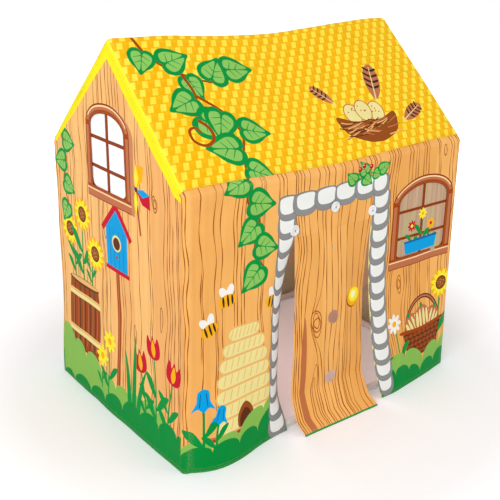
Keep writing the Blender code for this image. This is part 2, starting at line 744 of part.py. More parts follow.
def build_door():
    """The flap in two lengths that meet at the fold, with the stud and the two fastener patches."""
    half_gap = HINGE_GAP / 2
    upper = spaced(DOOR_FOLD + half_gap, DOOR_TOP - HINGE_GAP, 6)
    lower = joined(spaced(HEM_CLEARANCE, TOE_HEIGHT, 5),
                   spaced(TOE_HEIGHT, DOOR_FOLD - half_gap, 6))
    flap = add_sheet("door_flap_upper",
                     [[door_point(share, z) - LIFT_POINT for z in upper] for share in DOOR_SHARES],
                     WOOD_CLOTH, at=LIFT_POINT, **ON_LIFT)
    add_sheet("door_flap_lower",
              [[door_point(share, z) - FOLD_POINT for z in lower] for share in DOOR_SHARES],
              WOOD_CLOTH, at=FOLD_POINT, **ON_FOLD)
    stud = door_point(1 / 2, DOOR_TOP - STUD_DROP)
    cut(flap, rivet_hole("door_stud", stud))
    add_turned("door_stud", rivet_outline(STUD_HEAD_RADIUS, 0), CLEAR_PLASTIC, RIVET_SIDES,
               at=stud + Vector((0, -TRIM_GAP, 0)), turn=FACING_FRONT, **ON_LIFT)
    for name, height in (("upper", UPPER_PATCH_HEIGHT), ("lower", LOWER_PATCH_HEIGHT)):
        add_patch(f"door_patch_{name}", height)


def add_patch(name, height):
    """A round fastener patch laid flat on the flap's outer face at this height."""
    middle = door_point(1 / 2, height)
    reach = PATCH_RADIUS / 2
    share = reach / DOOR_WIDTH
    up = door_point(1 / 2, height + reach) - door_point(1 / 2, height - reach)
    across = door_point(1 / 2 + share, height) - door_point(1 / 2 - share, height)
    normal = across.cross(up).normalized()
    edge = PATCH_THICKNESS / 4
    outline = [(0, PATCH_THICKNESS), (PATCH_RADIUS - edge, PATCH_THICKNESS),
               (PATCH_RADIUS, PATCH_THICKNESS - edge), (PATCH_RADIUS, 0), (0, 0)]
    turn = Vector((0, 0, 1)).rotation_difference(normal).to_euler()
    add_turned(name, outline, LOOP_PATCH, DISC_SIDES, at=middle + normal * TRIM_GAP, turn=turn, **ON_FOLD)


def build_cover():
    """Every piece of cloth and film, and what is fixed to it."""
    build_roof()
    build_front_wall()
    build_back_wall()
    build_gable_walls()
    build_films()
    build_discs()
    build_door()


build_frame()
build_cover()
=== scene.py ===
"""The looks of a child's play tent: a printed cloth cover over a frame of push-fit tubes.

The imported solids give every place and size. Each piece of cloth is drawn flat, as its cutting
pattern, with the outlines of its print as edges of its mesh, and is then hung in the shape of its
solid with the finer wrinkles, hems and seams that the solid leaves out.

Lengths are in metres. X runs along the front wall, Y from the door to the back, and Z is up.
"""
import json
import logging
import math
import random
from dataclasses import dataclass, field
from enum import Enum
from typing import Callable, Iterable

import bmesh
import bpy
import numpy as np
from mathutils import Matrix, Vector
from mathutils.geometry import delaunay_2d_cdt
from mathutils.kdtree import KDTree

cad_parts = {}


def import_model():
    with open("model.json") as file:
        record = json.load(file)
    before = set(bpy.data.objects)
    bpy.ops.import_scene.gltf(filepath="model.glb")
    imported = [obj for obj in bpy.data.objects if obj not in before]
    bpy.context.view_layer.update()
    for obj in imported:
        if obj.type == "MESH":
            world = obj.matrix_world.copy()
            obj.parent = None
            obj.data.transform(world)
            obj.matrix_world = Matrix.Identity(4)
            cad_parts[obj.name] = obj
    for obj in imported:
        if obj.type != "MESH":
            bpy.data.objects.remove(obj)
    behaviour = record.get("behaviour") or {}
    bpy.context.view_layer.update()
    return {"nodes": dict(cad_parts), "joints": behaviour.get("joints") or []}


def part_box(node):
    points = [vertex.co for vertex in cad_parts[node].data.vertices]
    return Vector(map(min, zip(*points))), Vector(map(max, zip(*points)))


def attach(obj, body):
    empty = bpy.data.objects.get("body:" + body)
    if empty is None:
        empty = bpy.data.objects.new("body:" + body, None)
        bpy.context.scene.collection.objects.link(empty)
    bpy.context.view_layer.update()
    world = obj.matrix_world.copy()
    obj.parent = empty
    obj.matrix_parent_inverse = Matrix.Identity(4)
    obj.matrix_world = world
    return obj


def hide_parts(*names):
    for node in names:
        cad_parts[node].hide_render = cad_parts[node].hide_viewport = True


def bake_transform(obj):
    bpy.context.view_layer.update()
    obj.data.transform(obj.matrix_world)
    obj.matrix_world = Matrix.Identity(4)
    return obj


LOG = logging.getLogger("play_tent")

Point = tuple[float, float]
Outline = list[Point]
Line = tuple[float, float, float, float]
Array = np.ndarray
Surface = Callable[[Array, Array], Array]
Material = bpy.types.Material
Piece = bpy.types.Object
Socket = bpy.types.NodeSocket
Colour = tuple[float, ...]

FULL_TURN = 2 * math.pi
QUARTER_TURN = math.pi / 2


def linear(*shown: float) -> Colour:
    """A colour in linear light, from its red, green and blue as a screen shows them, 0 to 255."""
    shares = [value / 255 for value in shown]
    return (*(s / 12.92 if s <= 0.04045 else ((s + 0.055) / 1.055) ** 2.4 for s in shares), 1.0)


class Ink(Enum):
    """The flat inks of the printed cloth, as a screen shows them."""

    DARK_GREEN = (0, 141, 58)
    LIGHT_GREEN = (138, 190, 84)
    LEAF_GREEN = (0, 146, 62)
    LEAF_LIGHT = (140, 198, 96)
    OUTLINE = (140, 54, 2)
    FRAME = (163, 68, 6)
    FRAME_MID = (194, 114, 74)
    FRAME_LIGHT = (255, 218, 166)
    FRAME_SHADE = (206, 136, 92)
    GRAIN = (160, 84, 26)
    STONE_WHITE = (242, 242, 237)
    STONE_GREY = (142, 143, 142)
    STONE_DARK = (112, 113, 112)
    CREAM = (240, 226, 150)
    TAN = (238, 184, 108)
    BROWN = (150, 76, 22)
    DARK_BROWN = (92, 44, 18)
    DOOR_STRIPE = (190, 112, 66)
    CHARCOAL = (52, 38, 32)
    RED = (200, 18, 46)
    BLUE = (0, 160, 222)
    DEEP_BLUE = (20, 100, 170)
    YELLOW = (254, 236, 50)
    AMBER = (250, 178, 14)
    KNOB_LIGHT = (255, 250, 190)
    TRIM = (255, 238, 24)
    WHITE = (246, 244, 238)

    @property
    def colour(self) -> Colour:
        """The ink in linear light."""
        return linear(*self.value)


class Graph:
    """Adds and links the nodes of one shader or geometry tree."""

    def __init__(self, tree: bpy.types.NodeTree) -> None:
        """Take hold of a tree."""
        self.tree = tree

    def node(self, kind: str, sockets: dict | None = None, **settings: object) -> bpy.types.Node:
        """Add a node.

        Args:
            kind: The node's type name.
            sockets: Values or other sockets, by input name or index.
            settings: The node's own properties.

        Returns:
            The new node.
        """
        made = self.tree.nodes.new(kind)
        for name, value in settings.items():
            setattr(made, name, value)
        for key, value in (sockets or {}).items():
            self.feed(made.inputs[key], value)
        return made

    def feed(self, target: Socket, value: object) -> None:
        """Link a socket into an input, or set the input's own value.

        Args:
            target: The input.
            value: The socket or the value.
        """
        if isinstance(value, bpy.types.NodeSocket):
            self.tree.links.new(value, target)
        else:
            target.default_value = value

    def surface(self, **sockets: object) -> None:
        """Feed the Principled surface, with _ for each space in the names of its sockets."""
        for name, value in sockets.items():
            self.feed(self.tree.nodes["Principled BSDF"].inputs[name.replace("_", " ")], value)

    def math(self, operation: str, *values: object) -> Socket:
        """The result of a Math node on up to three values."""
        return self.node("ShaderNodeMath", dict(enumerate(values)), operation=operation).outputs[0]

    def blend(self, factor: object, first: object, second: object) -> Socket:
        """A colour between two others."""
        return self.node("ShaderNodeMix", {"Factor": factor, 6: first, 7: second}, data_type="RGBA").outputs[2]

    def noise(self, place: Socket, scale: float | Point, detail: float = 2.0) -> Socket:
        """Soft noise from 0 to 1.

        Args:
            place: Where it is read.
            scale: How fine it is, or how fine it is across and up.
            detail: How many finer layers it has.

        Returns:
            The noise.
        """
        if isinstance(scale, tuple):
            place = self.node("ShaderNodeVectorMath", {0: place, 1: (*scale, 1.0)}, operation="MULTIPLY").outputs[0]
            scale = 1.0
        return self.node("ShaderNodeTexNoise", {"Vector": place, "Scale": scale, "Detail": detail}).outputs[0]

    def ramp(self, value: Socket, low: float, high: float) -> Socket:
        """0 below the low value, 1 above the high one, and a smooth rise between them."""
        sockets = {"Value": value, "From Min": low, "From Max": high}
        return self.node("ShaderNodeMapRange", sockets, interpolation_type="SMOOTHSTEP").outputs[0]

    def span(self, value: Socket, low: float, high: float, start: float = 0.0, end: float = 1.0) -> Socket:
        """A straight rise from the low result at the start value to the high one at the end value."""
        sockets = {"Value": value, "From Min": start, "From Max": end, "To Min": low, "To Max": high}
        return self.node("ShaderNodeMapRange", sockets).outputs[0]

    def attribute(self, name: str) -> bpy.types.NodeOutputs:
        """The outputs of the node that reads an attribute of the mesh."""
        return self.node("ShaderNodeAttribute", attribute_name=name).outputs

    def pattern(self) -> Socket:
        """The place on a cloth's cutting pattern, in metres."""
        return self.node("ShaderNodeUVMap", uv_map="pattern").outputs[0]

    def parts(self, place: Socket) -> bpy.types.NodeOutputs:
        """The three parts of a place."""
        return self.node("ShaderNodeSeparateXYZ", {0: place}).outputs

    def bump(self, height: Socket, strength: float = 0.5, distance: float = 1.0) -> Socket:
        """The normal of a relief."""
        sockets = {"Height": height, "Strength": strength, "Distance": distance}
        return self.node("ShaderNodeBump", sockets).outputs[0]

    def seen(self) -> Socket:
        """Tell the camera's rays from those of the light.

        Returns:
            1 on the rays by which the camera sees a thing, straight or by way of another.
        """
        rays = self.node("ShaderNodeLightPath").outputs
        others = self.math("MAXIMUM", rays["Is Glossy Ray"], rays["Is Transmission Ray"])
        return self.math("MAXIMUM", rays["Is Camera Ray"], others)


def new_material(name: str) -> tuple[Material, Graph]:
    """Make a material with a Principled surface.

    Args:
        name: Its name.

    Returns:
        The material and its graph.
    """
    material = bpy.data.materials.new(name)
    material.use_nodes = True
    return material, Graph(material.node_tree)


@dataclass(frozen=True)
class WoodPrint:
    """Printed planks: the tones of the wood between its grain lines."""

    light: Colour
    dark: Colour
    plank: float = 0.098
    drift: float = 0.03
    drift_scale: Point = (9.0, 1.5)
    plank_share: float = 0.45
    streak_share: float = 0.75
    streak_scale: Point = (70.0, 2.0)

    def paint(self, graph: Graph, place: Socket) -> Socket:
        """Lay the print out on a cloth's own pattern.

        Args:
            graph: The material's graph.
            place: The place on the pattern.

        Returns:
            The print's colour.
        """
        slow = graph.math("SUBTRACT", graph.noise(place, self.drift_scale, 1.5), 0.5)
        across = graph.math("MULTIPLY_ADD", slow, self.drift, graph.parts(place)[0])
        plank = graph.math("FLOOR", graph.math("DIVIDE", across, self.plank))
        shade = graph.node("ShaderNodeTexWhiteNoise", {"W": plank}, noise_dimensions="1D").outputs[0]
        streak = graph.math("MULTIPLY", graph.noise(place, self.streak_scale, 3.0), self.streak_share)
        tone = graph.ramp(graph.math("MULTIPLY_ADD", shade, self.plank_share, streak), 0.2, 1.0)
        return graph.blend(tone, self.light, self.dark)


@dataclass(frozen=True)
class TilePrint:
    """Printed roof tiles: rows of bright cells, each row half a step on from the last."""

    base: Colour = linear(247, 182, 8)
    cell: Colour = linear(254, 212, 38)
    glow: Colour = linear(255, 232, 78)
    pitch: float = 0.0362
    row: float = 0.0246
    skew: float = -0.25
    soft: float = 0.03
    fade_scale: float = 24.0

    def paint(self, graph: Graph, place: Socket) -> Socket:
        """Lay the rows out on a cloth's own pattern.

        Args:
            graph: The material's graph.
            place: The place on the pattern.

        Returns:
            The print's colour.
        """
        parts = graph.parts(place)
        rows = graph.math("DIVIDE", parts[1], self.row)
        up = graph.math("FRACT", rows)
        odd = graph.math("FLOORED_MODULO", graph.math("FLOOR", rows), 2.0)
        leaned = graph.math("MULTIPLY_ADD", up, self.skew, graph.math("DIVIDE", parts[0], self.pitch))
        along = graph.math("FRACT", graph.math("MULTIPLY_ADD", odd, 0.5, leaned))
        fade = graph.ramp(graph.noise(place, self.fade_scale), 0.1, 0.62)
        colour = self.base
        for left, right, low, high, share, ink in ((0.6, 0.9, 0.55, 0.97, 0.3, self.cell),
                                                   (0.03, 0.5, 0.05, 0.93, 1.0, self.cell),
                                                   (0.05, 0.48, 0.1, 0.9, fade, self.glow)):
            sides = self.between(graph, along, left, right), self.between(graph, up, low, high)
            inside = graph.math("MULTIPLY", graph.math("MULTIPLY", *sides), share)
            colour = graph.blend(inside, colour, ink)
        return colour

    def between(self, graph: Graph, value: Socket, low: float, high: float) -> Socket:
        """1 where a value lies between two others, with soft edges."""
        rise, fall = (graph.ramp(value, edge - self.soft, edge + self.soft) for edge in (low, high))
        return graph.math("SUBTRACT", rise, fall)


Print = WoodPrint | TilePrint


@dataclass(frozen=True)
class ClothFinish:
    """Coated polyester: its print, its weave, fine creases, worn edges and low sheen."""

    roughness: float = 0.52
    specular: float = 0.05
    sheen: float = 0.01
    thread: float = 0.0011
    weave_height: float = 0.00003
    crease_height: float = 0.0011
    crease_scale: Point = (16.0, 9.0)
    cloud_shade: float = -0.06
    cloud_scale: float = 11.0
    worn_share: float = 0.14
    worn_scale: float = 260.0
    worn_colour: Colour = linear(250, 226, 190)
    reverse_colour: Colour = linear(213, 203, 179)
    reverse_share: float = 0.8
    reverse_rougher: float = 0.2

    def make(self, name: str, print_: Print) -> list[Material]:
        """Make the materials of a cloth, which read its pattern from its UV map.

        Args:
            name: The start of their names.
            print_: The print that covers the cloth under its inks.

        Returns:
            The material of its printed side and that of its reverse.
        """
        made = []
        for word in ("print", "reverse"):
            material, graph = new_material(f"{name}_{word}")
            place = graph.pattern()
            ink = graph.attribute("ink")
            colour = graph.blend(ink["Alpha"], print_.paint(graph, place), ink["Color"])
            cloud = graph.ramp(graph.noise(place, self.cloud_scale, 3.0), 0.25, 0.8)
            shade = graph.math("MULTIPLY_ADD", cloud, self.cloud_shade, 1.0)
            colour = graph.node("ShaderNodeVectorMath", {0: colour, "Scale": shade}, operation="SCALE").outputs[0]
            speckle = graph.ramp(graph.noise(place, self.worn_scale), 0.42, 0.62)
            rub = graph.math("MULTIPLY", graph.attribute("rub")["Fac"], speckle)
            colour = graph.blend(graph.math("MULTIPLY", rub, self.worn_share), colour, self.worn_colour)
            if word == "reverse":
                colour = graph.blend(self.reverse_share, colour, self.reverse_colour)
            threads = [graph.math("SINE", graph.math("MULTIPLY", part, FULL_TURN / self.thread))
                       for part in graph.parts(place)[:2]]
            weave = graph.math("MULTIPLY", graph.math("MULTIPLY", *threads), self.weave_height)
            creases = graph.noise(place, self.crease_scale, 4.0)
            height = graph.math("MULTIPLY_ADD", creases, self.crease_height, weave)
            rougher = self.reverse_rougher if word == "reverse" else 0
            graph.surface(Base_Color=colour, Roughness=self.roughness + rougher,
                          Specular_IOR_Level=self.specular, Sheen_Weight=self.sheen, Sheen_Roughness=0.45,
                          Normal=graph.bump(height, 0.7))
            made.append(material)
        return made


@dataclass(frozen=True)
class FilmFinish:
    """Milky window film with faint streaks and ripples, and the opaque ink of the bars on it."""

    haze: float
    colour: Colour
    streak: Colour
    patch: Colour
    patch_share: float = 0.6
    patch_scale: Point = (22.0, 7.0)
    streak_scale: Point = (90.0, 3.0)
    ripple_scale: Point = (20.0, 14.0)
    ripple_height: float = 0.002
    roughness: float = 0.42

    def make(self, name: str) -> list[Material]:
        """Make the materials of a film, which read its pattern from its UV map.

        Args:
            name: The start of their names.

        Returns:
            The material of the clear film and that of the print on it.
        """
        made = []
        for word, alpha, specular in (("clear", self.haze, 0.25), ("bars", 1.0, 0.04)):
            material, graph = new_material(f"{name}_{word}")
            place = graph.pattern()
            streak = graph.ramp(graph.noise(place, self.streak_scale, 3.0), 0.3, 0.7)
            cloud = graph.ramp(graph.noise(place, self.patch_scale, 1.0), 0.48, 0.66)
            colour = graph.blend(graph.math("MULTIPLY", cloud, self.patch_share),
                                 graph.blend(streak, self.colour, self.streak), self.patch)
            graph.surface(Base_Color=graph.attribute("ink")["Color"] if word == "bars" else colour, Alpha=alpha,
                          Roughness=self.roughness, Specular_IOR_Level=specular,
                          Normal=graph.bump(graph.noise(place, self.ripple_scale), 0.5, self.ripple_height))
            made.append(material)
        return made


@dataclass(frozen=True)
class SolidFinish:
    """Plastic or yarn of one colour, with a little tone variation and a fine grain."""

    colour: Colour
    roughness: float = 0.38
    transmission: float = 0.0
    dusk: float = 0.86
    mottle: float = 22.0
    sheen: float = 0.0
    grain_height: float = 0.00004
    grain_scale: float = 900.0
    handled_scale: float = 60.0

    def make(self, name: str) -> Material:
        """Make the material, which reads Object coordinates.

        Args:
            name: The material's name.

        Returns:
            The material.
        """
        material, graph = new_material(name)
        place = graph.node("ShaderNodeTexCoord").outputs["Object"]
        dusk = (*(value * self.dusk for value in self.colour[:3]), 1.0)
        tone = graph.ramp(graph.noise(place, self.mottle, 4.0), 0.3, 0.8)
        handled = graph.ramp(graph.noise(place, self.handled_scale, 3.0), 0.35, 0.7)
        height = graph.math("MULTIPLY", graph.noise(place, self.grain_scale, 1.0), self.grain_height)
        graph.surface(Base_Color=graph.blend(tone, self.colour, dusk), Normal=graph.bump(height),
                      Roughness=graph.span(handled, self.roughness - 0.06, self.roughness + 0.1),
                      Transmission_Weight=self.transmission, Sheen_Weight=self.sheen)
        return material


def yarn(*shown: float) -> SolidFinish:
    """Matt thread or looped pile of a colour."""
    return SolidFinish(linear(*shown), 0.85, 0.0, 0.7, 700.0, 0.25, 0.0)


# Outlines


def spaced(first: float, last: float, count: int) -> list[float]:
    """Evenly spaced values from the first to the last, in this many steps."""
    return [first + (last - first) * step / count for step in range(count + 1)]


def moved(outline: Iterable[Point], x: float = 0.0, y: float = 0.0, scale: float = 1.0, turn: float = 0.0,
          flip: int = 1) -> Outline:
    """An outline mirrored where flip is -1, scaled and turned about zero, then moved."""
    cos, sin = math.cos(turn) * scale, math.sin(turn) * scale
    return [(x + flip * u * cos - v * sin, y + flip * u * sin + v * cos) for u, v in outline]


def arc(wide: float, tall: float, start: float, end: float, count: int = 20, x: float = 0.0,
        y: float = 0.0) -> Outline:
    """Points along an ellipse with these half sizes, between two angles."""
    return [(x + wide * math.cos(turn), y + tall * math.sin(turn)) for turn in spaced(start, end, count)]


def oval(x: float, y: float, wide: float, tall: float, turn: float = 0.0, count: int = 20) -> Outline:
    """An ellipse with these half sizes."""
    return moved(arc(wide, tall, 0, FULL_TURN, count)[1:], x, y, turn=turn)


def box_outline(left: float, low: float, right: float, high: float) -> Outline:
    """A rectangle."""
    return [(left, low), (right, low), (right, high), (left, high)]


def both_sides(half: Iterable[Point]) -> Outline:
    """A closed outline from its right half, given from its foot to its top."""
    return [*half, *((-x, y) for x, y in reversed(list(half)) if x > 0)]


def smooth(points: list[Point], steps: int = 4, closed: bool = True) -> Outline:
    """A smooth line through points.

    Args:
        points: The points that it passes.
        steps: How many parts each stretch between two points gets.
        closed: Whether it ends where it starts.

    Returns:
        The points of the line.
    """
    count = len(points)
    line: Outline = []
    for i in range(count if closed else count - 1):
        places = range(i - 1, i + 3)
        a, b, c, d = (points[j % count if closed else min(max(j, 0), count - 1)] for j in places)
        for t in spaced(0, 1, steps)[:-1]:
            line.append(tuple((2 * q + (r - p) * t + (2 * p - 5 * q + 4 * r - s) * t * t
                               + (3 * q - p - 3 * r + s) * t ** 3) / 2 for p, q, r, s in zip(a, b, c, d)))
    return line if closed else [*line, points[-1]]


def dense_line(points: Outline, step: float, closed: bool = False) -> Outline:
    """A line with no side longer than a step.

    Args:
        points: Its corners.
        step: The longest side.
        closed: Whether it ends where it starts.

    Returns:
        Its points.
    """
    line: Outline = []
    for a, b in zip(points, points[1:] + points[:1] if closed else points[1:]):
        parts = max(math.ceil(math.dist(a, b) / step), 1)
        line.extend((a[0] + (b[0] - a[0]) * i / parts, a[1] + (b[1] - a[1]) * i / parts) for i in range(parts))
    return line if closed else [*line, points[-1]]


def area_of(outline: Outline) -> float:
    """The area inside an outline, negative where it runs clockwise."""
    return sum(a[0] * b[1] - b[0] * a[1] for a, b in zip(outline, outline[1:] + outline[:1])) / 2


# Drawings: outlines in flat inks, each printed over the ones before it, or left bare where the ink is None

Drawing = list[tuple[Outline, Ink | None]]


def flat(ink: Ink | None, *outlines: Outline) -> Drawing:
    """Outlines in one ink."""
    return [(list(outline), ink) for outline in outlines]


def dot(ink: Ink, x: float, y: float, wide: float, tall: float = 0.0, turn: float = 0.0,
        count: int = 20) -> Drawing:
    """An ellipse with these half sizes, or a circle where it has one."""
    return flat(ink, oval(x, y, wide, tall or wide, turn, count))


def bar(ink: Ink, left: float, low: float, right: float, high: float) -> Drawing:
    """A rectangle."""
    return flat(ink, box_outline(left, low, right, high))


def pill(ink: Ink, y: float, half: float, radius: float) -> Drawing:
    """A level bar with round ends, this far to each end from the middle."""
    return flat(ink, both_sides(arc(radius, radius, -QUARTER_TURN, QUARTER_TURN, 6, half - radius, y)))


def blob(ink: Ink, *points: Point, steps: int = 4) -> Drawing:
    """A smooth shape through points."""
    return flat(ink, smooth(points, steps))


def stroke(ink: Ink, width: float, *points: Point, end: float = 0.0, steps: int = 5) -> Drawing:
    """A stroke along a smooth line, in short runs so that it may cross itself.

    Args:
        ink: Its ink.
        width: Its width at the first point.
        points: The points that it passes.
        end: Its width at the last point, where that is another.
        steps: How many parts each stretch gets.

    Returns:
        The drawing.
    """
    line = smooth(points, steps, closed=False)
    last = len(line) - 1
    sides: tuple[Outline, Outline] = ([], [])
    for i, (x, y) in enumerate(line):
        before, after = line[max(i - 1, 0)], line[min(i + 1, last)]
        dx, dy = after[0] - before[0], after[1] - before[1]
        half = (width + ((end or width) - width) * i / last) / (2 * math.hypot(dx, dy))
        for side, sign in zip(sides, (1, -1)):
            side.append((x + sign * dy * half, y - sign * dx * half))
    runs = [(i, min(i + steps, last) + 1) for i in range(0, last, steps)]
    return flat(ink, *(sides[0][a:b] + sides[1][a:b][::-1] for a, b in runs))


def stamp(drawing: Drawing, x: float = 0.0, y: float = 0.0, scale: float = 1.0, turn: float = 0.0,
          flip: int = 1) -> Drawing:
    """A drawing mirrored where flip is -1, scaled and turned about zero, then moved."""
    return [(moved(outline, x, y, scale, turn, flip), ink) for outline, ink in drawing]


def twin(drawing: Drawing) -> Drawing:
    """A drawing and its mirror image."""
    return drawing + stamp(drawing, flip=-1)


def around(drawing: Drawing, count: int, start: float = 0.0, step: float = 0.0) -> Drawing:
    """A drawing repeated round zero, all the way where no step is given."""
    turns = [start + (step or FULL_TURN / count) * i for i in range(count)]
    return [shape for turn in turns for shape in stamp(drawing, turn=turn)]


@dataclass(frozen=True)
class Knot:
    """A knot in the wood, round which the grain lines part."""

    u: float
    v: float
    tall: float
    push: float
    wide: float = 0.045
    shift: float = 0.0
    loops: int = 1

    def aside(self, u: float, v: float) -> float:
        """Part a grain line round the knot.

        Args:
            u: Where the line runs.
            v: The height at which it is moved.

        Returns:
            How far it moves sideways.
        """
        away = u - self.u - self.shift
        near = max(1 - abs(away) / (2 * self.wide), 0) ** 2 * math.exp(-((v - self.v) / self.tall) ** 2)
        return (math.copysign(self.push, away) - self.shift) * near


@dataclass(frozen=True)
class Grain:
    """Printed wood grain: dark lines in bunches, which waver together and part round knots."""

    left: float
    right: float
    high: float
    seed: int
    knots: tuple[Knot, ...] = ()
    close: float = 0.0085
    plain: float = 0.027
    width: float = 0.0031
    shares: tuple[float, ...] = ()
    low: float = -0.005
    step: float = 0.02
    waver: float = 0.007
    cut_share: float = 0.3
    tip_share: float = 0.12
    outer_ring: float = 0.8
    ring_range: float = 0.62

    def draw(self) -> Drawing:
        """Draw the lines, and the rings of the knots.

        Returns:
            The drawing.
        """
        rng = random.Random(self.seed)
        drawing: Drawing = []
        waves = [(rng.uniform(0.1, 0.45), rng.uniform(0, FULL_TURN), rng.uniform(-20, 20)) for _ in range(6)]
        starts = [self.left + share * (self.right - self.left) for share in self.shares]
        for start in starts or self.bunches(rng):
            low, high = self.low, self.high
            if not self.shares and rng.random() < self.cut_share:
                cut = rng.uniform(low + 0.1, high - 0.1)
                low, high = (low, cut) if rng.random() < 0.5 else (cut, high)
            count = max(round((high - low) / self.step), 2)
            phase, swell = rng.uniform(0, FULL_TURN), rng.uniform(0.07, 0.16)
            sides: tuple[Outline, Outline] = ([], [])
            for i, v in enumerate(spaced(low, high, count)):
                u = start + sum(knot.aside(start, v) for knot in self.knots)
                u += sum(self.waver * wave * math.sin(FULL_TURN * v / wave + at + drift * start)
                         for wave, at, drift in waves)
                thin = self.tip_share if i == 0 and low > self.low or i == count and high < self.high else 1.0
                half = self.width * thin * (0.4 + 0.16 * math.sin(FULL_TURN * v / swell + phase))
                sides[0].append((u + half, v))
                sides[1].append((u - half, v))
            drawing += flat(Ink.GRAIN, sides[0] + sides[1][::-1])
        for knot, i in ((knot, i) for knot in self.knots for i in range(knot.loops)):
            share = self.outer_ring - self.ring_range * i / knot.loops
            bend, bump = rng.uniform(0, FULL_TURN), rng.uniform(0, FULL_TURN)
            for ink, inset in ((Ink.GRAIN, 0.0), (None, self.width * 0.85)):
                rim = []
                for turn in spaced(0, FULL_TURN, 24)[:-1]:
                    size = share * (1 + 0.14 * math.sin(2 * turn + bend) + 0.09 * math.sin(3 * turn + bump))
                    rim.append((knot.u + (knot.push * size - inset) * math.cos(turn),
                                knot.v + (knot.tall * 0.72 * size - inset * 1.5) * math.sin(turn)))
                drawing += flat(ink, rim)
        return drawing

    def bunches(self, rng: random.Random) -> list[float]:
        """Where the lines start, in bunches with plain wood between them.

        Args:
            rng: The source of their spacing.

        Returns:
            The starts.
        """
        starts = []
        u = self.left + self.close / 2
        while u < self.right:
            for _ in range(rng.randint(2, 5)):
                starts.append(u)
                u += self.close * rng.uniform(0.55, 1.7)
            u += self.plain * rng.uniform(0.3, 1.3)
        return [u for u in starts if u < self.right]


# Motifs, each one unit wide or high, about its foot or its middle

LEAF = blob(Ink.LEAF_GREEN, *both_sides([(0.0, 0.05), (0.1, -0.03), (0.33, 0.0), (0.49, 0.28), (0.38, 0.6),
                                         (0.16, 0.84), (0.0, 1.05)]))
LEAF += twin(blob(Ink.LEAF_LIGHT, (0.04, 0.16), (0.3, 0.16), (0.35, 0.36), (0.24, 0.6), (0.04, 0.86))
             + stroke(Ink.LEAF_GREEN, 0.035, (0, 0.24), (0.28, 0.38), end=0.015, steps=2)
             + stroke(Ink.LEAF_GREEN, 0.035, (0, 0.44), (0.21, 0.6), end=0.015, steps=2))

TENDRIL = stroke(Ink.FRAME, 0.11, (0.0, 0.0), (0.22, -0.28), (0.2, -0.62), (-0.12, -0.8), (-0.42, -0.62),
                 (-0.42, -0.3), (-0.2, -0.22), (-0.08, -0.4), end=0.07)

SUNFLOWER = (around(dot(Ink.AMBER, 0.62, 0, 0.4, 0.15, count=12), 12)
             + around(dot(Ink.YELLOW, 0.533, 0, 0.344, 0.15, count=12), 12, 0.26)
             + dot(Ink.DARK_BROWN, 0, 0, 0.45) + dot(Ink.BROWN, 0, 0, 0.37))
for seed_number in range(10):
    SUNFLOWER += stamp(dot(Ink.TAN, 0.095 * math.sqrt(seed_number), 0, 0.032, count=8), turn=2.4 * seed_number)

TULIP = (blob(Ink.RED, *both_sides([(0, 0), (0.42, 0.16), (0.5, 0.6), (0.36, 1.0), (0.16, 0.72), (0, 1.05)]),
              steps=3)
         + blob(Ink.AMBER, (0, 0.1), (0.16, 0.4), (0, 0.86), (-0.16, 0.4)))

BELLFLOWER = (blob(Ink.BLUE, *both_sides([(0, -1.04), (0.24, -0.86), (0.52, -0.98), (0.3, -0.58), (0.26, -0.14),
                                          (0, 0)]), steps=3)
              + twin(stroke(Ink.DEEP_BLUE, 0.05, (0.12, -0.2), (0.18, -0.8), steps=3)))

PINWHEEL = stroke(Ink.FRAME, 0.12, (0, 0), (0.25, -1.82), steps=6)
for vane_ink, fold_ink, lead in ((Ink.AMBER, Ink.YELLOW, 0.3), (Ink.RED, Ink.BLUE, 0.3 + QUARTER_TURN)):
    PINWHEEL += around(flat(vane_ink, [(0, 0), (0.05, 0.55), (0.3, 0.95), (0.86, 0.8), (0.62, 0.3)])
                       + flat(fold_ink, [(0, 0), (0.05, 0.55), (0.3, 0.95), (0.36, 0.42)]), 2, lead)
PINWHEEL += dot(Ink.DARK_BROWN, 0, 0, 0.11, count=12)

BEE = (dot(Ink.WHITE, -0.16, 0.42, 0.2, 0.38, 0.5, 14) + dot(Ink.WHITE, 0.2, 0.44, 0.2, 0.38, -0.35, 14)
       + dot(Ink.AMBER, 0, 0, 0.5, 0.33))
for stripe_x, stripe_tall in ((-0.22, 0.29), (0.04, 0.33), (0.28, 0.27)):
    BEE += dot(Ink.CHARCOAL, stripe_x, 0, 0.06, stripe_tall, count=12)

SKEP = bar(Ink.FRAME, -0.62, -0.06, 0.62, 0.01) + bar(Ink.FRAME_MID, -0.6, -0.02, 0.6, 0.006)
for coil in range(7):
    foot, reach = 0.2 * coil, 0.5 * math.sqrt(max(1 - (coil / 7) ** 2.2, 0.12))
    SKEP += pill(Ink.TAN, foot + 0.1, reach, 0.108) + pill(Ink.CREAM, foot + 0.1, reach - 0.024, 0.084)
    for lash in spaced(-0.72 * reach, 0.72 * reach, 6):
        SKEP += stroke(Ink.TAN, 0.014, (lash - 0.02, foot + 0.044), (lash + 0.02, foot + 0.172), steps=2)
HIVE_DOOR = blob(Ink.BROWN, *both_sides([(0, 0.01), (0.13, 0.02), (0.13, 0.2), (0, 0.33)]))
SKEP += HIVE_DOOR + stamp([(HIVE_DOOR[0][0], Ink.DARK_BROWN)], 0, 0.004, 0.72)

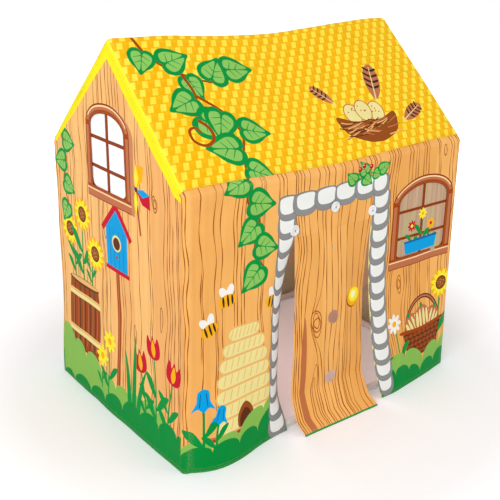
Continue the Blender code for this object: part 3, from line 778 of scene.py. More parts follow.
FEATHER = blob(Ink.FRAME_MID, (0.0, 0.0), (0.16, 0.24), (0.21, 0.6), (0.13, 0.9), (0, 1.0), (-0.15, 0.86),
               (-0.21, 0.55), (-0.14, 0.22), steps=5)
for barb in (0.3, 0.46, 0.62, 0.78):
    reach = 0.19 - abs(barb - 0.55) * 0.12
    FEATHER += blob(Ink.CHARCOAL, *both_sides([(0, barb), (reach, barb + 0.07), (reach, barb + 0.13),
                                               (0, barb + 0.06)]), steps=3)
FEATHER += stroke(Ink.CREAM, 0.035, (0, -0.14), (0, 0.5), (0, 0.92), end=0.015)

GOURD = dot(Ink.FRAME_MID, 0, 0, 0.2, 0.24)
for rib, rib_wide in ((-0.12, 0.035), (-0.04, 0.03), (0.05, 0.03), (0.13, 0.03)):
    GOURD += dot(Ink.CREAM, rib, 0, rib_wide, 0.2 * (1 - abs(rib) * 2), count=14)
GOURD += dot(Ink.LEAF_GREEN, 0, 0.24, 0.03, 0.05, count=10)
BASKET = [shape for handle_ink, handle_wide in ((Ink.DARK_BROWN, 0.075), (Ink.FRAME_MID, 0.03))
          for shape in stroke(handle_ink, handle_wide, *arc(0.44, 0.6, 0, math.pi, 6, 0, 0.42), steps=4)]
for gourd_place in ((-0.24, 0.56, 1, 0.5), (0.24, 0.55, 1, -0.4), (0, 0.63, 1, 0.1)):
    BASKET += stamp(GOURD, *gourd_place)
BASKET += flat(Ink.DARK_BROWN, both_sides([(0.4, 0.0), (0.5, 0.46)]))
for cane in range(5):
    cane_half = 0.395 + (0.02 + cane * 0.085) * 0.22
    for cell in range(8):
        BASKET += dot(Ink.BROWN if (cane + cell) % 2 else Ink.FRAME,
                      ((2 * cell + 0.7 + cane % 2 * 0.6) / 8 - 1) * cane_half, 0.058 + cane * 0.085,
                      cane_half / 8 * 0.93, 0.036, count=12)
BASKET += blob(Ink.FRAME, *both_sides([(0, 0.43), (0.53, 0.47), (0.53, 0.53), (0, 0.49)]))

BERRY_SPRIG = stroke(Ink.LEAF_GREEN, 0.05, (0, 0), (0.5, 0.16), (1, 0.1), end=0.03)
for leaf_place in ((0.15, 0.04, 0.42, 0.7), (0.38, 0.12, 0.4, -2.3), (0.52, 0.15, 0.44, 0.4),
                   (0.74, 0.14, 0.36, -2.0), (0.95, 0.1, 0.42, -1.2)):
    BERRY_SPRIG += stamp(LEAF, *leaf_place)
for berry_x, berry_y in ((0.3, 0.36), (0.44, 0.42), (0.68, 0.34)):
    BERRY_SPRIG += (dot(Ink.RED, berry_x, berry_y, 0.07, count=14)
                    + dot(Ink.WHITE, berry_x - 0.02, berry_y + 0.025, 0.016, count=8))


def daisy(petal: Ink = Ink.WHITE, heart: Ink = Ink.AMBER) -> Drawing:
    """A round flower with eight petals."""
    return around(dot(petal, 0.6, 0, 0.42, 0.22, count=12), 8) + dot(heart, 0, 0, 0.3, count=14)


def stalk(flower: Drawing, x: float, foot: float, high: float, lean: float, size: float, width: float = 0.007,
          blades: int = 2, turn: float = 0.0) -> Drawing:
    """A flower on a green stalk with narrow leaves near its foot.

    Args:
        flower: The flower, of one unit.
        x: The middle of the stalk's foot.
        foot: The height of the foot.
        high: The length of the stalk.
        lean: How far its top leans over.
        size: The size of the flower.
        width: The width of the stalk.
        blades: How many leaves it has.
        turn: The turn of the flower.

    Returns:
        The drawing.
    """
    drawing = stroke(Ink.LEAF_GREEN, width, (0, 0), (lean * 0.2, high * 0.5), (lean, high), end=width * 0.7)
    for i in range(blades):
        start, reach = high * (0.12 + 0.16 * i), high * 0.3
        drawing += stamp(blob(Ink.LEAF_GREEN, (0, 0), (-0.5, 0.28), (-1, 1), (-0.45, 0.85)), 0, start, reach,
                         flip=-1 if i % 2 else 1)
    return stamp(drawing + stamp(flower, lean, high, size, turn), x, foot)


def birdhouse(pole: float) -> Drawing:
    """A blue nesting box with a red roof, one unit wide.

    Args:
        pole: The height of the pole under it.

    Returns:
        The drawing.
    """
    high = pole + 1.05
    return [*bar(Ink.FRAME, -0.08, 0, 0.08, pole + 0.2), *bar(Ink.FRAME_MID, -0.03, 0, 0.01, pole),
            *flat(Ink.BLUE, both_sides([(0.5, pole), (0.5, high), (0, high + 0.55)])),
            *twin(bar(Ink.DEEP_BLUE, 0.1, pole, 0.118, high) + bar(Ink.DEEP_BLUE, 0.3, pole, 0.318, high)
                  + stroke(Ink.RED, 0.15, (0.68, high - 0.1), (0, high + 0.62), steps=4)),
            *dot(Ink.CREAM, 0, pole + 0.72, 0.21), *dot(Ink.DARK_BROWN, 0, pole + 0.71, 0.16),
            *bar(Ink.RED, -0.56, pole - 0.06, 0.56, pole + 0.05), *dot(Ink.FRAME, 0, pole + 0.36, 0.05, count=10)]


def stave(low: float, high: float, left: float, right: float) -> Outline:
    """A strip of a tub one unit wide, between two shares of its height and two of its half width."""
    return [(edge * (0.42 + 0.08 * math.sin(math.pi * (0.15 + 0.75 * v))), v * 1.184)
            for edge, run in ((right, spaced(low, high, 6)), (left, spaced(high, low, 6))) for v in run]


def tub(x: float, foot: float) -> Drawing:
    """A planted wooden tub with three sunflowers.

    Args:
        x: Its middle.
        foot: The height of its foot.

    Returns:
        The drawing.
    """
    drawing = flat(Ink.DARK_BROWN, stave(0, 1, -1, 1))
    for i in range(6):
        low = i / 3 - 1
        drawing += flat(Ink.FRAME if i % 2 else Ink.BROWN, stave(0.02, 0.98, low + 0.03, low + 0.303))
        middle = 0.45 * (low + 1 / 6)
        drawing += stroke(Ink.FRAME_MID, 0.02, (middle, 0.12), (middle + 0.02, 0.65), (middle, 1.02), end=0.01,
                          steps=3)
    for v in (0.2, 0.74):
        drawing += (flat(Ink.CREAM, stave(v, v + 0.09, -1.02, 1.02))
                    + flat(Ink.TAN, stave(v + 0.055, v + 0.083, -1.02, 1.02)))
    drawing += dot(Ink.DARK_BROWN, 0, 1.172, 0.472, 0.065) + dot(Ink.TAN, 0, 1.184, 0.44, 0.041)
    plants = [shape for shift, lean, high in ((-0.05, -0.022, 0.15), (0.0, 0.008, 0.215), (0.05, 0.028, 0.115))
              for shape in stalk(SUNFLOWER, x + shift, foot + 0.225, high, lean, 0.052, 0.008, 3)]
    return plants + stamp(drawing, x, foot, 0.19)


def nest() -> Drawing:
    """A twig nest with three speckled eggs.

    Returns:
        The drawing.
    """
    rng = random.Random(5)
    drawing: Drawing = []
    for x, y, turn in ((-0.2, 0.15, 0.15), (0.2, 0.15, -0.15), (0.0, 0.19, 0.0)):
        drawing += dot(Ink.FRAME_MID, x, y, 0.135, 0.175, turn) + dot(Ink.CREAM, x, y, 0.12, 0.16, turn)
        for _ in range(5):
            drawing += dot(Ink.FRAME_MID, x + rng.uniform(-0.06, 0.06), y + rng.uniform(-0.02, 0.1), 0.011, 0.014,
                           count=8)
    drawing += blob(Ink.BROWN, *both_sides([(0, -0.32), (0.16, -0.3), (0.42, -0.16), (0.5, 0.12), (0.25, 0.04),
                                            (0, 0.02)]))
    for i in range(34):
        x, y = rng.uniform(-0.4, 0.4), rng.uniform(-0.2, 0.03)
        reach, lift = rng.uniform(0.08, 0.16), rng.uniform(-0.05, 0.05)
        twig = (x - reach, y - lift), (x, y - 0.01), (x + reach, y + lift)
        drawing += stroke((Ink.FRAME_MID, Ink.TAN, Ink.DARK_BROWN)[i % 3], 0.02, *twig, end=0.012, steps=3)
    return drawing


def flower_box() -> Drawing:
    """A blue window box with three round flowers, one unit wide.

    Returns:
        The drawing.
    """
    blooms = ((-0.3, 0.62, Ink.RED, Ink.YELLOW), (0.02, 0.84, Ink.YELLOW, Ink.AMBER),
              (0.3, 0.56, Ink.AMBER, Ink.RED))
    drawing = [shape for x, high, petal, heart in blooms
               for shape in stalk(daisy(petal, heart), x, 0, high, 0.0, 0.13, 0.02, 3)]
    return (drawing + flat(Ink.BLUE, both_sides([(0.46, 0.0), (0.52, 0.3)]))
            + flat(Ink.DEEP_BLUE, both_sides([(0.51, 0.25), (0.52, 0.3)])))


def climber(route: list[Point], leaf_shares: list[float], size: float, width: float, seed: int) -> Drawing:
    """A climbing plant along a route, its leaves on alternate sides.

    Args:
        route: The points that its stem passes.
        leaf_shares: Where each leaf grows, as shares of the route.
        size: The length of a leaf.
        width: The width of the stem at its foot.
        seed: The seed of the leaves' small differences.

    Returns:
        The drawing.
    """
    rng = random.Random(seed)
    drawing = stroke(Ink.FRAME, width, *route, end=width * 0.6)
    line = smooth(route, 8, closed=False)
    for number, share in enumerate(leaf_shares):
        i = min(int(share * (len(line) - 1)), len(line) - 2)
        (x, y), (x2, y2) = line[i], line[i + 1]
        turn = math.atan2(y2 - y, x2 - x) - QUARTER_TURN + (1 if number % 2 else -1) * rng.uniform(0.8, 1.35)
        drawing += stamp(LEAF, x, y, size * rng.uniform(0.85, 1.1), turn)
    return drawing


def bush(ink: Ink, bump: float, seed: int, *profile: Point) -> Drawing:
    """A hedge from below the hem up to a top of round lumps.

    Args:
        ink: Its ink.
        bump: The usual width of a lump.
        seed: The seed of their small differences.
        profile: Points of the line that the lumps follow, from left to right.

    Returns:
        The drawing.
    """
    rng = random.Random(seed)
    us, vs = zip(*profile)
    top: Outline = []
    u = us[0]
    while u < us[-1] - 0.001:
        width = min(bump * rng.uniform(0.8, 1.3), us[-1] - u)
        low, high = np.interp([u, u + width], us, vs)
        rise = width * rng.uniform(0.3, 0.42)
        for angle in spaced(math.pi, 0, 9):
            share = (1 + math.cos(angle)) / 2
            top.append((u + width * share, low + (high - low) * share + rise * (math.sin(angle) - 0.25)))
        u += width
    return flat(ink, [(us[-1], -0.01), *top[::-1], (us[0], -0.01)])


def stone(x: float, foot: float, wide: float, tall: float, rng: random.Random, covered: bool = True) -> Drawing:
    """One rounded stone: a dark rim, a grey body and a white face.

    Args:
        x: The middle of its lower edge.
        foot: The height of that edge.
        wide: Its width.
        tall: Its height.
        rng: The source of its small differences.
        covered: Whether the next stone covers its top, so that its face runs up under it.

    Returns:
        The drawing.
    """
    skew, swell = rng.uniform(-0.04, 0.04), rng.uniform(0.96, 1.05)
    drawing: Drawing = []
    body = [(-0.41, 0.98), (-0.5, 0.66), (-0.48, 0.34), (-0.33, 0.09), (-0.02, 0.0), (0.31, 0.07), (0.48, 0.32),
            (0.5, 0.66), (0.41, 0.98), (0.0, 1.06)]
    for ink, inset in ((Ink.STONE_DARK, 0.0), (Ink.STONE_GREY, 0.0012)):
        drawing += flat(ink, [(x + u * (wide * swell - inset * 2), foot + inset + v * (tall - inset * 2))
                              for u, v in smooth(body, 3)])
    high = 1.0 if covered else 0.9
    face = [(-0.35, high), (-0.385, 0.7), (-0.35, 0.45), (-0.21, 0.31), (0.02, 0.28), (0.23, 0.32), (0.365, 0.47),
            (0.395, 0.72), (0.35, high), *([(0.0, high)] if covered else [(0.22, 0.985), (-0.12, 0.975)])]
    return drawing + flat(Ink.STONE_WHITE, [(x + (u + skew) * wide, foot + v * tall) for u, v in smooth(face, 3)])


@dataclass(frozen=True)
class Opening:
    """A window with an arched head, drawn from the middle of its sill."""

    width: float
    rise: float
    arch: float
    upright: float
    rail: float
    band: float = 0.028
    margin: float = 0.012
    corner: float = 0.018
    sill: float = 0.034

    def outline(self, margin: float = 0.0) -> Outline:
        """The opening's edge.

        Args:
            margin: How far it is grown.

        Returns:
            The outline.
        """
        half = self.width / 2 + margin
        return [(-half, -margin), (half, -margin),
                *arc(half, self.arch + margin, 0, math.pi, 20, 0, self.rise - self.arch)]

    def frame(self, shaded: bool) -> Drawing:
        """The printed wooden frame round the opening.

        Args:
            shaded: Whether the frame casts a printed shade on its right.

        Returns:
            The drawing.
        """
        spring, half = self.rise - self.arch, self.width / 2
        drawing = flat(Ink.FRAME_SHADE, moved(self.outline(self.band), 0.019, -0.006)) if shaded else []
        near, far = (arc(half + self.band * share, self.arch + self.band * share, start, math.pi - start, 14, 0,
                         spring) for share, start in ((0.66, 0.35), (0.82, 0.4)))
        for ink, outline in ((Ink.OUTLINE, self.outline(self.band)), (Ink.FRAME_MID, self.outline(self.band - 0.0042)),
                             (Ink.FRAME_LIGHT, near + far[::-1]), (Ink.FRAME, self.outline(0.0105)),
                             (Ink.OUTLINE, self.outline(0.0014))):
            drawing += flat(ink, outline)
        drawing += twin(bar(Ink.FRAME, half, spring - 0.002, half + self.band, spring + 0.009)
                        + bar(Ink.OUTLINE, half, spring - 0.004, half + self.band, spring - 0.001))
        half += self.band + 0.002
        for low, high, ink in ((-self.sill, 0.0, Ink.OUTLINE), (0.0025 - self.sill, -0.002, Ink.FRAME_MID),
                               (-0.0135, -0.0095, Ink.FRAME_LIGHT), (-0.0075, 0.0, Ink.FRAME)):
            drawing += bar(ink, -half, low, half, high)
        return drawing

    def bars(self) -> Drawing:
        """The bars printed on the film, and its rounded lower corners.

        Returns:
            The drawing.
        """
        half = self.width / 2
        edge = half + self.margin
        drawing = bar(Ink.OUTLINE, -self.upright / 2, -self.margin, self.upright / 2, self.rise + self.margin)
        for level in (self.rise * 0.275, self.rise * 0.66):
            drawing += bar(Ink.OUTLINE, -edge, level - self.rail / 2, edge, level + self.rail / 2)
        curve = arc(self.corner, self.corner, -QUARTER_TURN, 0, 5, half - self.corner, self.corner)
        return drawing + twin(flat(Ink.OUTLINE, [(edge, self.corner), (edge, -self.margin),
                                                 (half - self.corner, -self.margin), *curve]))


# How the cloth hangs


def fade(height: Array, top: float | Array) -> Array:
    """A smooth fall from 1 at height 0 to 0 at the top, and 0 above it."""
    left = 1 - np.clip(height / top, 0, 1)
    return left * left * (3 - 2 * left)


@dataclass(frozen=True)
class Hang:
    """The shape of the hanging cover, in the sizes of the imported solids."""

    half_length: float
    half_depth: float
    centre_y: float
    post_x: float
    post_y: float
    corner: float
    eave_axis: float
    ridge_axis: float
    eave_sag: float
    ridge_sag: float
    door_left: float
    door_right: float
    door_top: float
    door_fold: float
    hem: float = 0.001
    seam_gap: float = 0.0004
    seam_up: float = 0.01
    socket_reach: float = 0.045
    roof_belly: float = 0.006
    hem_flare: float = 0.012
    flare_top: float = 0.34
    hem_bulge: float = 0.036
    bulge_top: float = 0.36
    bulge_power: float = 0.58
    side_bulge: float = 0.04
    side_top: float = 0.39
    jamb_top: float = 0.582
    flat_from: float = 0.233
    back_bow: float = 0.006
    gable_bow: float = 0.004
    left_curl: float = 0.04
    left_curl_width: float = 0.095
    left_pull: float = 0.012
    right_curl: float = 0.01
    right_curl_width: float = 0.07
    right_pull: float = 0.047
    right_pull_top: float = 0.555
    right_pull_power: float = 3.0
    curl_foot: float = 0.11
    door_slit: float = 0.0015
    door_bow: float = 0.017
    door_left_out: float = 0.004
    door_right_in: float = 0.011
    right_in_share: float = 0.72
    taper_left: float = 0.005
    taper_right: float = 0.0065
    toe_reach: float = 0.062
    toe_skew: float = 0.004
    toe_height: float = 0.112
    toe_power: float = 1.28
    toe_shift: float = 0.015
    toe_shift_top: float = 0.044

    @classmethod
    def from_frame(cls, joints: list[dict]) -> "Hang":
        """Read the sizes of the solids.

        Args:
            joints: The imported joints.

        Returns:
            The hang of the cover.
        """
        low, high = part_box("front_left_post")
        front, back = (low + high).y, sum(corner.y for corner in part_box("back_right_post"))
        post_x, post_y, centre_y = -(low.x + high.x) / 2, (back - front) / 4, (back + front) / 4
        half_length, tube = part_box("roof_sheet")[1].x, (high.x - low.x) / 2
        axes, sags = [], []
        for rail in ("front_eave_rail", "ridge_pole"):
            axes.append(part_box(f"{rail}_left")[1].z - tube)
            sags.append(axes[-1] - sum(corner.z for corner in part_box(f"{rail}_coupler")) / 2)
        edges = [sum(corner.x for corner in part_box(f"door_disc_{side}")) / 2 for side in ("left", "right")]
        heights = {joint["name"]: joint["pos_m"][2] for joint in joints}
        return cls(half_length, post_y + half_length - post_x, centre_y, post_x, post_y, half_length - post_x,
                   *axes, *sags, *edges, heights["door_lift"], heights["door_fold"])

    @property
    def slope(self) -> float:
        """The roof's slope in radians."""
        return math.atan2(self.ridge_axis - self.eave_axis, self.post_y)

    @property
    def slope_length(self) -> float:
        """The length of a rafter's axis."""
        return math.hypot(self.ridge_axis - self.eave_axis, self.post_y)

    @property
    def wrap(self) -> float:
        """How much cloth a quarter turn round a post takes."""
        return self.corner * QUARTER_TURN

    @property
    def lean(self) -> float:
        """The roll of a wall over the eave, in radians."""
        return QUARTER_TURN - self.slope

    @property
    def wall_top(self) -> float:
        """The top of a wall's pattern."""
        return self.eave_axis + self.corner * self.lean + self.seam_up - self.seam_gap

    @property
    def roof_length(self) -> float:
        """The length of the roof's pattern from seam to seam over the ridge."""
        return 2 * (self.slope_length - self.seam_up - self.seam_gap) + self.corner * 2 * self.slope

    def sag_share(self, x: Array) -> Array:
        """How far a rail has sagged at x: 0 inside its end sockets, 1 at midspan."""
        mouth = self.post_x - self.socket_reach
        return np.where(np.abs(x) < mouth, np.cos(math.pi * x / (2 * mouth)) ** 2, 0)

    def curl_share(self, share: Array) -> Array:
        """How far a jamb has curled at a share of the door's height."""
        power = np.where(share < 0.5, 4, 2)
        return np.maximum(1 - np.abs(2 * share - 1) ** power, 0)

    def beside_door(self, x: Array, z: Array) -> tuple[Array, Array]:
        """How the hem's bulges and the curled jambs move the front wall.

        Args:
            x: Places along its plane.
            z: Their heights.

        Returns:
            The outward and the sideways move.
        """
        curl = self.curl_share(z / self.door_top)
        foot = 1 - fade(z, self.curl_foot)
        run = np.clip((x + self.post_x) / (self.door_left + self.post_x), 0, 1)
        near = np.clip(1 - (self.door_left - x) / self.left_curl_width, 0, 1)
        bulge = self.hem_bulge * np.sin(math.pi * run ** self.bulge_power) ** 2 * fade(z, self.bulge_top)
        left = bulge - self.left_curl * near ** 2 * curl * foot, -self.left_pull * near * curl
        run = np.clip((x - self.door_right) / (self.post_x - self.door_right), 0, 1)
        near = np.clip(1 - (x - self.door_right) / self.right_curl_width, 0, 1)
        over = np.clip((x - self.door_right) / (self.flat_from - self.door_right), 0, 1)
        top = self.jamb_top + (self.side_top - self.jamb_top) * over
        bulge = self.side_bulge * np.cos(QUARTER_TURN * run) * fade(z, top)
        pull = np.maximum(1 - z / self.right_pull_top, 0) ** self.right_pull_power
        right = bulge - self.right_curl * near ** 2 * curl * foot, self.right_pull * (1 - run) ** 2 * pull
        is_left = x <= (self.door_left + self.door_right) / 2
        below = z < self.door_top
        return tuple(np.where(below, np.where(is_left, a, b), 0) for a, b in zip(left, right))

    def wall(self, u: Array, v: Array, face: int) -> Array:
        """Hang the front or the back wall.

        Args:
            u: Places across its pattern.
            v: Places up its pattern.
            face: -1 for the front wall, 1 for the back one.

        Returns:
            Their points.
        """
        base = np.clip(u, -self.post_x, self.post_x)
        turn = (u - base) / self.corner
        z = np.minimum(v, self.eave_axis)
        roll = np.clip((v - self.eave_axis) / self.corner, 0, self.lean)
        up = np.maximum(v - self.eave_axis - self.corner * self.lean, 0)
        if face < 0:
            outward, sideways = self.beside_door(base, z)
        else:
            run = np.cos(math.pi * base / (2 * self.post_x))
            outward, sideways = -self.back_bow * run * np.sin(math.pi * z / self.eave_axis), 0
        risen = np.clip((z - self.door_top) / (self.eave_axis - self.door_top), 0, 1)
        drop = self.eave_sag * self.sag_share(base) * risen
        x = base + sideways + self.corner * np.sin(turn)
        deep = self.post_y + outward + self.corner * np.cos(turn) * np.cos(roll) - up * math.cos(self.slope)
        high = z - drop + self.corner * np.cos(turn) * np.sin(roll) + up * math.sin(self.slope)
        x = x * (1 + self.hem_flare / self.half_length * fade(high, self.flare_top))
        return np.stack([-face * x, face * deep + self.centre_y, high], axis=1)

    def gable(self, u: Array, v: Array, side: int) -> Array:
        """Hang a gable wall.

        Args:
            u: Places across its pattern.
            v: Places up its pattern.
            side: -1 for the left one, 1 for the right one.

        Returns:
            Their points.
        """
        half = self.post_y - self.seam_gap
        spread = fade(v, self.flare_top)
        bow = self.gable_bow * np.cos(math.pi * u / (2 * half)) * spread
        x = (self.half_length + bow) * (1 + self.hem_flare / self.half_length * spread)
        return np.stack([side * x, side * u + self.centre_y, v], axis=1)

    def gable_top(self, u: float) -> float:
        """The top of a gable's pattern at a place across it."""
        rise = math.tan(self.slope) * (self.post_y - abs(u))
        return self.eave_axis + rise - self.seam_gap / math.cos(self.slope)

    def roof(self, u: Array, v: Array) -> Array:
        """Drape the roof.

        Args:
            u: Places across its pattern.
            v: Places up its pattern, from the front seam to the back one.

        Returns:
            Their points.
        """
        base = np.clip(u, -self.post_x, self.post_x)
        turn = (u - base) / self.corner
        start = self.seam_up + self.seam_gap
        straight = self.slope_length - start
        arc = np.clip((v - straight) / self.corner, 0, 2 * self.slope)
        normal_turn = self.lean + arc
        up = np.minimum(np.minimum(v, self.roof_length - v) + start, self.slope_length)
        side = np.where(v < self.roof_length / 2, -1, 1)
        share = up / self.slope_length
        sag = self.sag_share(base)
        drop = (self.eave_sag + (self.ridge_sag - self.eave_sag) * share) * sag
        out = self.corner * np.cos(turn) - self.roof_belly * 4 * share * (1 - share) * sag
        y = side * (self.post_y - up * math.cos(self.slope)) - out * np.cos(normal_turn)
        z = self.eave_axis + up * math.sin(self.slope) - drop + out * np.sin(normal_turn)
        return np.stack([base + self.corner * np.sin(turn), y + self.centre_y, z], axis=1)

    def door(self, u: Array, v: Array) -> Array:
        """Hang the flap.

        Args:
            u: Places across its pattern, from its left edge.
            v: Their heights over the floor.

        Returns:
            Their points.
        """
        across = u / (self.door_right - self.door_left)
        fall = (self.door_top - v) / self.door_top
        waist = np.sin(math.pi * fall)
        right_in = self.door_right_in * np.sin(math.pi * np.minimum(fall / self.right_in_share, 1))
        edges = (1 - across) * self.door_left_out * waist - across * right_in
        kick = np.maximum(1 - v / self.toe_height, 0) ** self.toe_power
        kick = kick * (self.toe_reach - self.toe_skew * (1 - across))
        outward = self.door_bow * 4 * across * (1 - across) * waist + edges + kick
        left = self.door_left + self.door_slit + self.taper_left * waist
        right = self.door_right - self.door_slit - self.taper_right * waist
        x = left + (right - left) * across + self.toe_shift * fade(v, self.toe_shift_top)
        return np.stack([x, self.centre_y - self.half_depth - outward, v], axis=1)


def along_line(u: Array, v: Array, line: Line) -> tuple[Array, Array, float]:
    """How places lie beside a line from one place of a pattern to another.

    Args:
        u: The places across the pattern.
        v: The places up the pattern.
        line: The line's start and end.

    Returns:
        Each place's share along the line, its distance from it, and the line's length.
    """
    length = math.dist(line[:2], line[2:])
    du, dv = (line[2] - line[0]) / length, (line[3] - line[1]) / length
    share = np.clip(((u - line[0]) * du + (v - line[1]) * dv) / length, 0, 1)
    return share, np.hypot(u - line[0] - share * length * du, v - line[1] - share * length * dv), length


@dataclass
class ClothPanel:
    """One piece of printed cloth: its cutting pattern, print, hang, creases, gathers and wear."""

    name: str
    outline: Outline
    surface: Surface
    drawing: Drawing
    holes: list[Outline] = field(default_factory=list)
    seed: int = 1
    ripple: float = 0.001
    pinches: tuple[tuple[float, ...], ...] = ()
    gathered: tuple[Line, ...] = ()
    rubbed: tuple[Line, ...] = ()
    calm: Line | None = None
    step: float = 0.0075
    thickness: float = 0.001
    wave: float = 0.17
    gather: float = 0.0006
    gather_pitch: float = 0.026
    gather_reach: float = 0.014
    rub_reach: float = 0.006
    calm_reach: float = 0.03
    waves: int = 9
    stitch_lift: float = 0.0002
    probe: float = 0.0005
    spot_gap_share: float = 0.36
    area: float = 0.0

    def relief(self, u: Array, v: Array) -> Array:
        """How far the cloth's unevenness, its creases and the gathers at its seams lift it.

        Args:
            u: Places across the pattern.
            v: Places up the pattern.

        Returns:
            The lift at each place.
        """
        rng = random.Random(self.seed)
        lift = np.zeros_like(u)
        for _ in range(self.waves):
            heading, phase, size = rng.uniform(-0.7, 0.7), rng.uniform(0, FULL_TURN), rng.uniform(0.45, 1.5)
            place = (u * math.cos(heading) + v * math.sin(heading)) / (self.wave * size)
            lift += np.sin(FULL_TURN * place + phase) * size * self.ripple / 3
        for *line, high, width in self.pinches:
            share, away, _ = along_line(u, v, line)
            lift += high * np.exp(-(away / width) ** 2) * (1 - share) * np.minimum(share * 8 + 0.4, 1)
        for line in self.gathered:
            share, away, length = along_line(u, v, line)
            along = FULL_TURN * share * length / self.gather_pitch
            wave = np.sin(along) + 0.6 * np.sin(along / 0.61)
            lift += self.gather * wave * np.exp(-(away / self.gather_reach) ** 2)
        if self.calm:
            lift *= 1 - np.exp(-(along_line(u, v, self.calm)[1] / self.calm_reach) ** 2)
        return lift

    def place(self, u: Array, v: Array, lift: float | Array = 0.0) -> Array:
        """Where places on the pattern hang.

        Args:
            u: The places across the pattern.
            v: The places up the pattern.
            lift: How far they are raised off the cloth.

        Returns:
            The points in the scene.
        """
        across = self.surface(u + self.probe, v) - self.surface(u - self.probe, v)
        upward = self.surface(u, v + self.probe) - self.surface(u, v - self.probe)
        normal = np.cross(across, upward)
        normal /= np.maximum(np.linalg.norm(normal, axis=1, keepdims=True), 1e-12)
        return self.surface(u, v) + normal * (self.relief(u, v) + lift)[:, None]

    def row(self, *corners: Point) -> list[Vector]:
        """The path of a row of stitches that lies on the cloth."""
        line = np.array(dense_line(list(corners), self.step))
        return [Vector(point) for point in self.place(*line.T, self.stitch_lift)]

    def size(self) -> Point:
        """The width and the height of the pattern."""
        return tuple(float(span) for span in np.ptp(np.array(self.outline), axis=0))

    def triangles(self) -> tuple[Array, list[tuple[int, ...]], list[Ink | None]]:
        """Cut the pattern along the outlines of its print.

        Returns:
            The places of the corners, the triangles, and the ink of each, or None where it is bare.
        """
        spots: list[Vector] = []
        faces: list[list[int]] = []
        inks = [None] + [None] * len(self.holes) + [ink for _, ink in self.drawing]
        for outline in [self.outline, *self.holes, *(outline for outline, _ in self.drawing)]:
            dense = dense_line(outline, self.step, closed=True)
            if area_of(dense) < 0:
                dense.reverse()
            faces.append(list(range(len(spots), len(spots) + len(dense))))
            spots.extend(Vector(point) for point in dense)
        tree = KDTree(len(spots))
        for i, spot in enumerate(spots):
            tree.insert((*spot, 0), i)
        tree.balance()
        start = np.min(np.array(self.outline), axis=0)
        columns, rows = (math.ceil(span / self.step) for span in self.size())
        for i, j in np.ndindex(columns + 1, rows + 1):
            spot = Vector((start[0] + i * self.step, start[1] + j * self.step))
            if tree.find((*spot, 0))[2] > self.step * self.spot_gap_share:
                spots.append(spot)
        corners, _, cut, _, _, sources = delaunay_2d_cdt(spots, [], faces, 0, 1e-7, True)
        barred = set(range(1, len(self.holes) + 1))
        kept = [(tuple(face), inks[max(source)]) for face, source in zip(cut, sources)
                if 0 in source and not barred & set(source)]
        places = np.array([tuple(corner) for corner in corners])
        return places, [face for face, _ in kept], [ink for _, ink in kept]

    def build(self, materials: list[Material], ink_slot: int = 0, back_slot: int = 1) -> Piece:
        """Make the piece.

        Args:
            materials: The materials of its slots.
            ink_slot: The slot of the faces that are printed with an ink.
            back_slot: How many slots on the reverse's material lies.

        Returns:
            The finished object, with its place in its mesh.
        """
        places, faces, inks = self.triangles()
        used = sorted({corner for face in faces for corner in face})
        order = {corner: i for i, corner in enumerate(used)}
        faces = np.array([[order[corner] for corner in face] for face in faces])
        places = places[used]
        mesh = bpy.data.meshes.new(self.name)
        mesh.from_pydata(self.place(places[:, 0], places[:, 1]).tolist(), [], faces.tolist())
        mesh.shade_smooth()
        loops = np.array([(loop.vertex_index, loop.edge_index) for loop in mesh.loops])
        rub = [np.exp(-(along_line(*places.T, line)[1] / self.rub_reach) ** 2) for line in self.rubbed]
        colours = [ink.colour if ink else (1.0, 1.0, 1.0, 0.0) for ink in inks]
        mesh.uv_layers.new(name="pattern").data.foreach_set("uv", places[loops[:, 0]].ravel())
        for name, kind, domain, key, values in (
                ("ink", "FLOAT_COLOR", "FACE", "color", np.array(colours, np.float32).ravel()),
                ("rub", "FLOAT", "POINT", "value", np.max([np.zeros(len(places)), *rub], 0).astype(np.float32)),
                ("sharp_edge", "BOOLEAN", "EDGE", "value", np.bincount(loops[:, 1]) == 1)):
            mesh.attributes.new(name, kind, domain).data.foreach_set(key, values)
        mesh.polygons.foreach_set("material_index", [ink_slot if ink else 0 for ink in inks])
        for material in materials:
            mesh.materials.append(material)
        a, b, c = (places[faces[:, k]] for k in range(3))
        self.area = float(np.abs(np.cross(b - a, c - a)).sum() / 2)
        piece = link(self.name, mesh)
        wall = piece.modifiers.new("thickness", "SOLIDIFY")
        wall.thickness = self.thickness
        wall.offset = -1
        wall.use_even_offset = True
        wall.material_offset = back_slot
        return piece


def link(name: str, data: bpy.types.ID) -> Piece:
    """Put a new object in the scene.

    Args:
        name: Its name.
        data: Its mesh, lamp or camera.

    Returns:
        The object.
    """
    piece = bpy.data.objects.new(name, data)
    bpy.context.scene.collection.objects.link(piece)
    return piece


def stand_for(piece: Piece, node: str, body: str = "house") -> None:
    """Let a piece stand for a solid.

    Args:
        piece: The piece.
        node: The name of the solid.
        body: The moving part that it rides on.
    """
    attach(piece, body)
    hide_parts(node)
    LOG.info("%s stands for %s: %d faces", piece.name, node, len(piece.data.polygons))


# Threads, loops and tubes, which follow a path


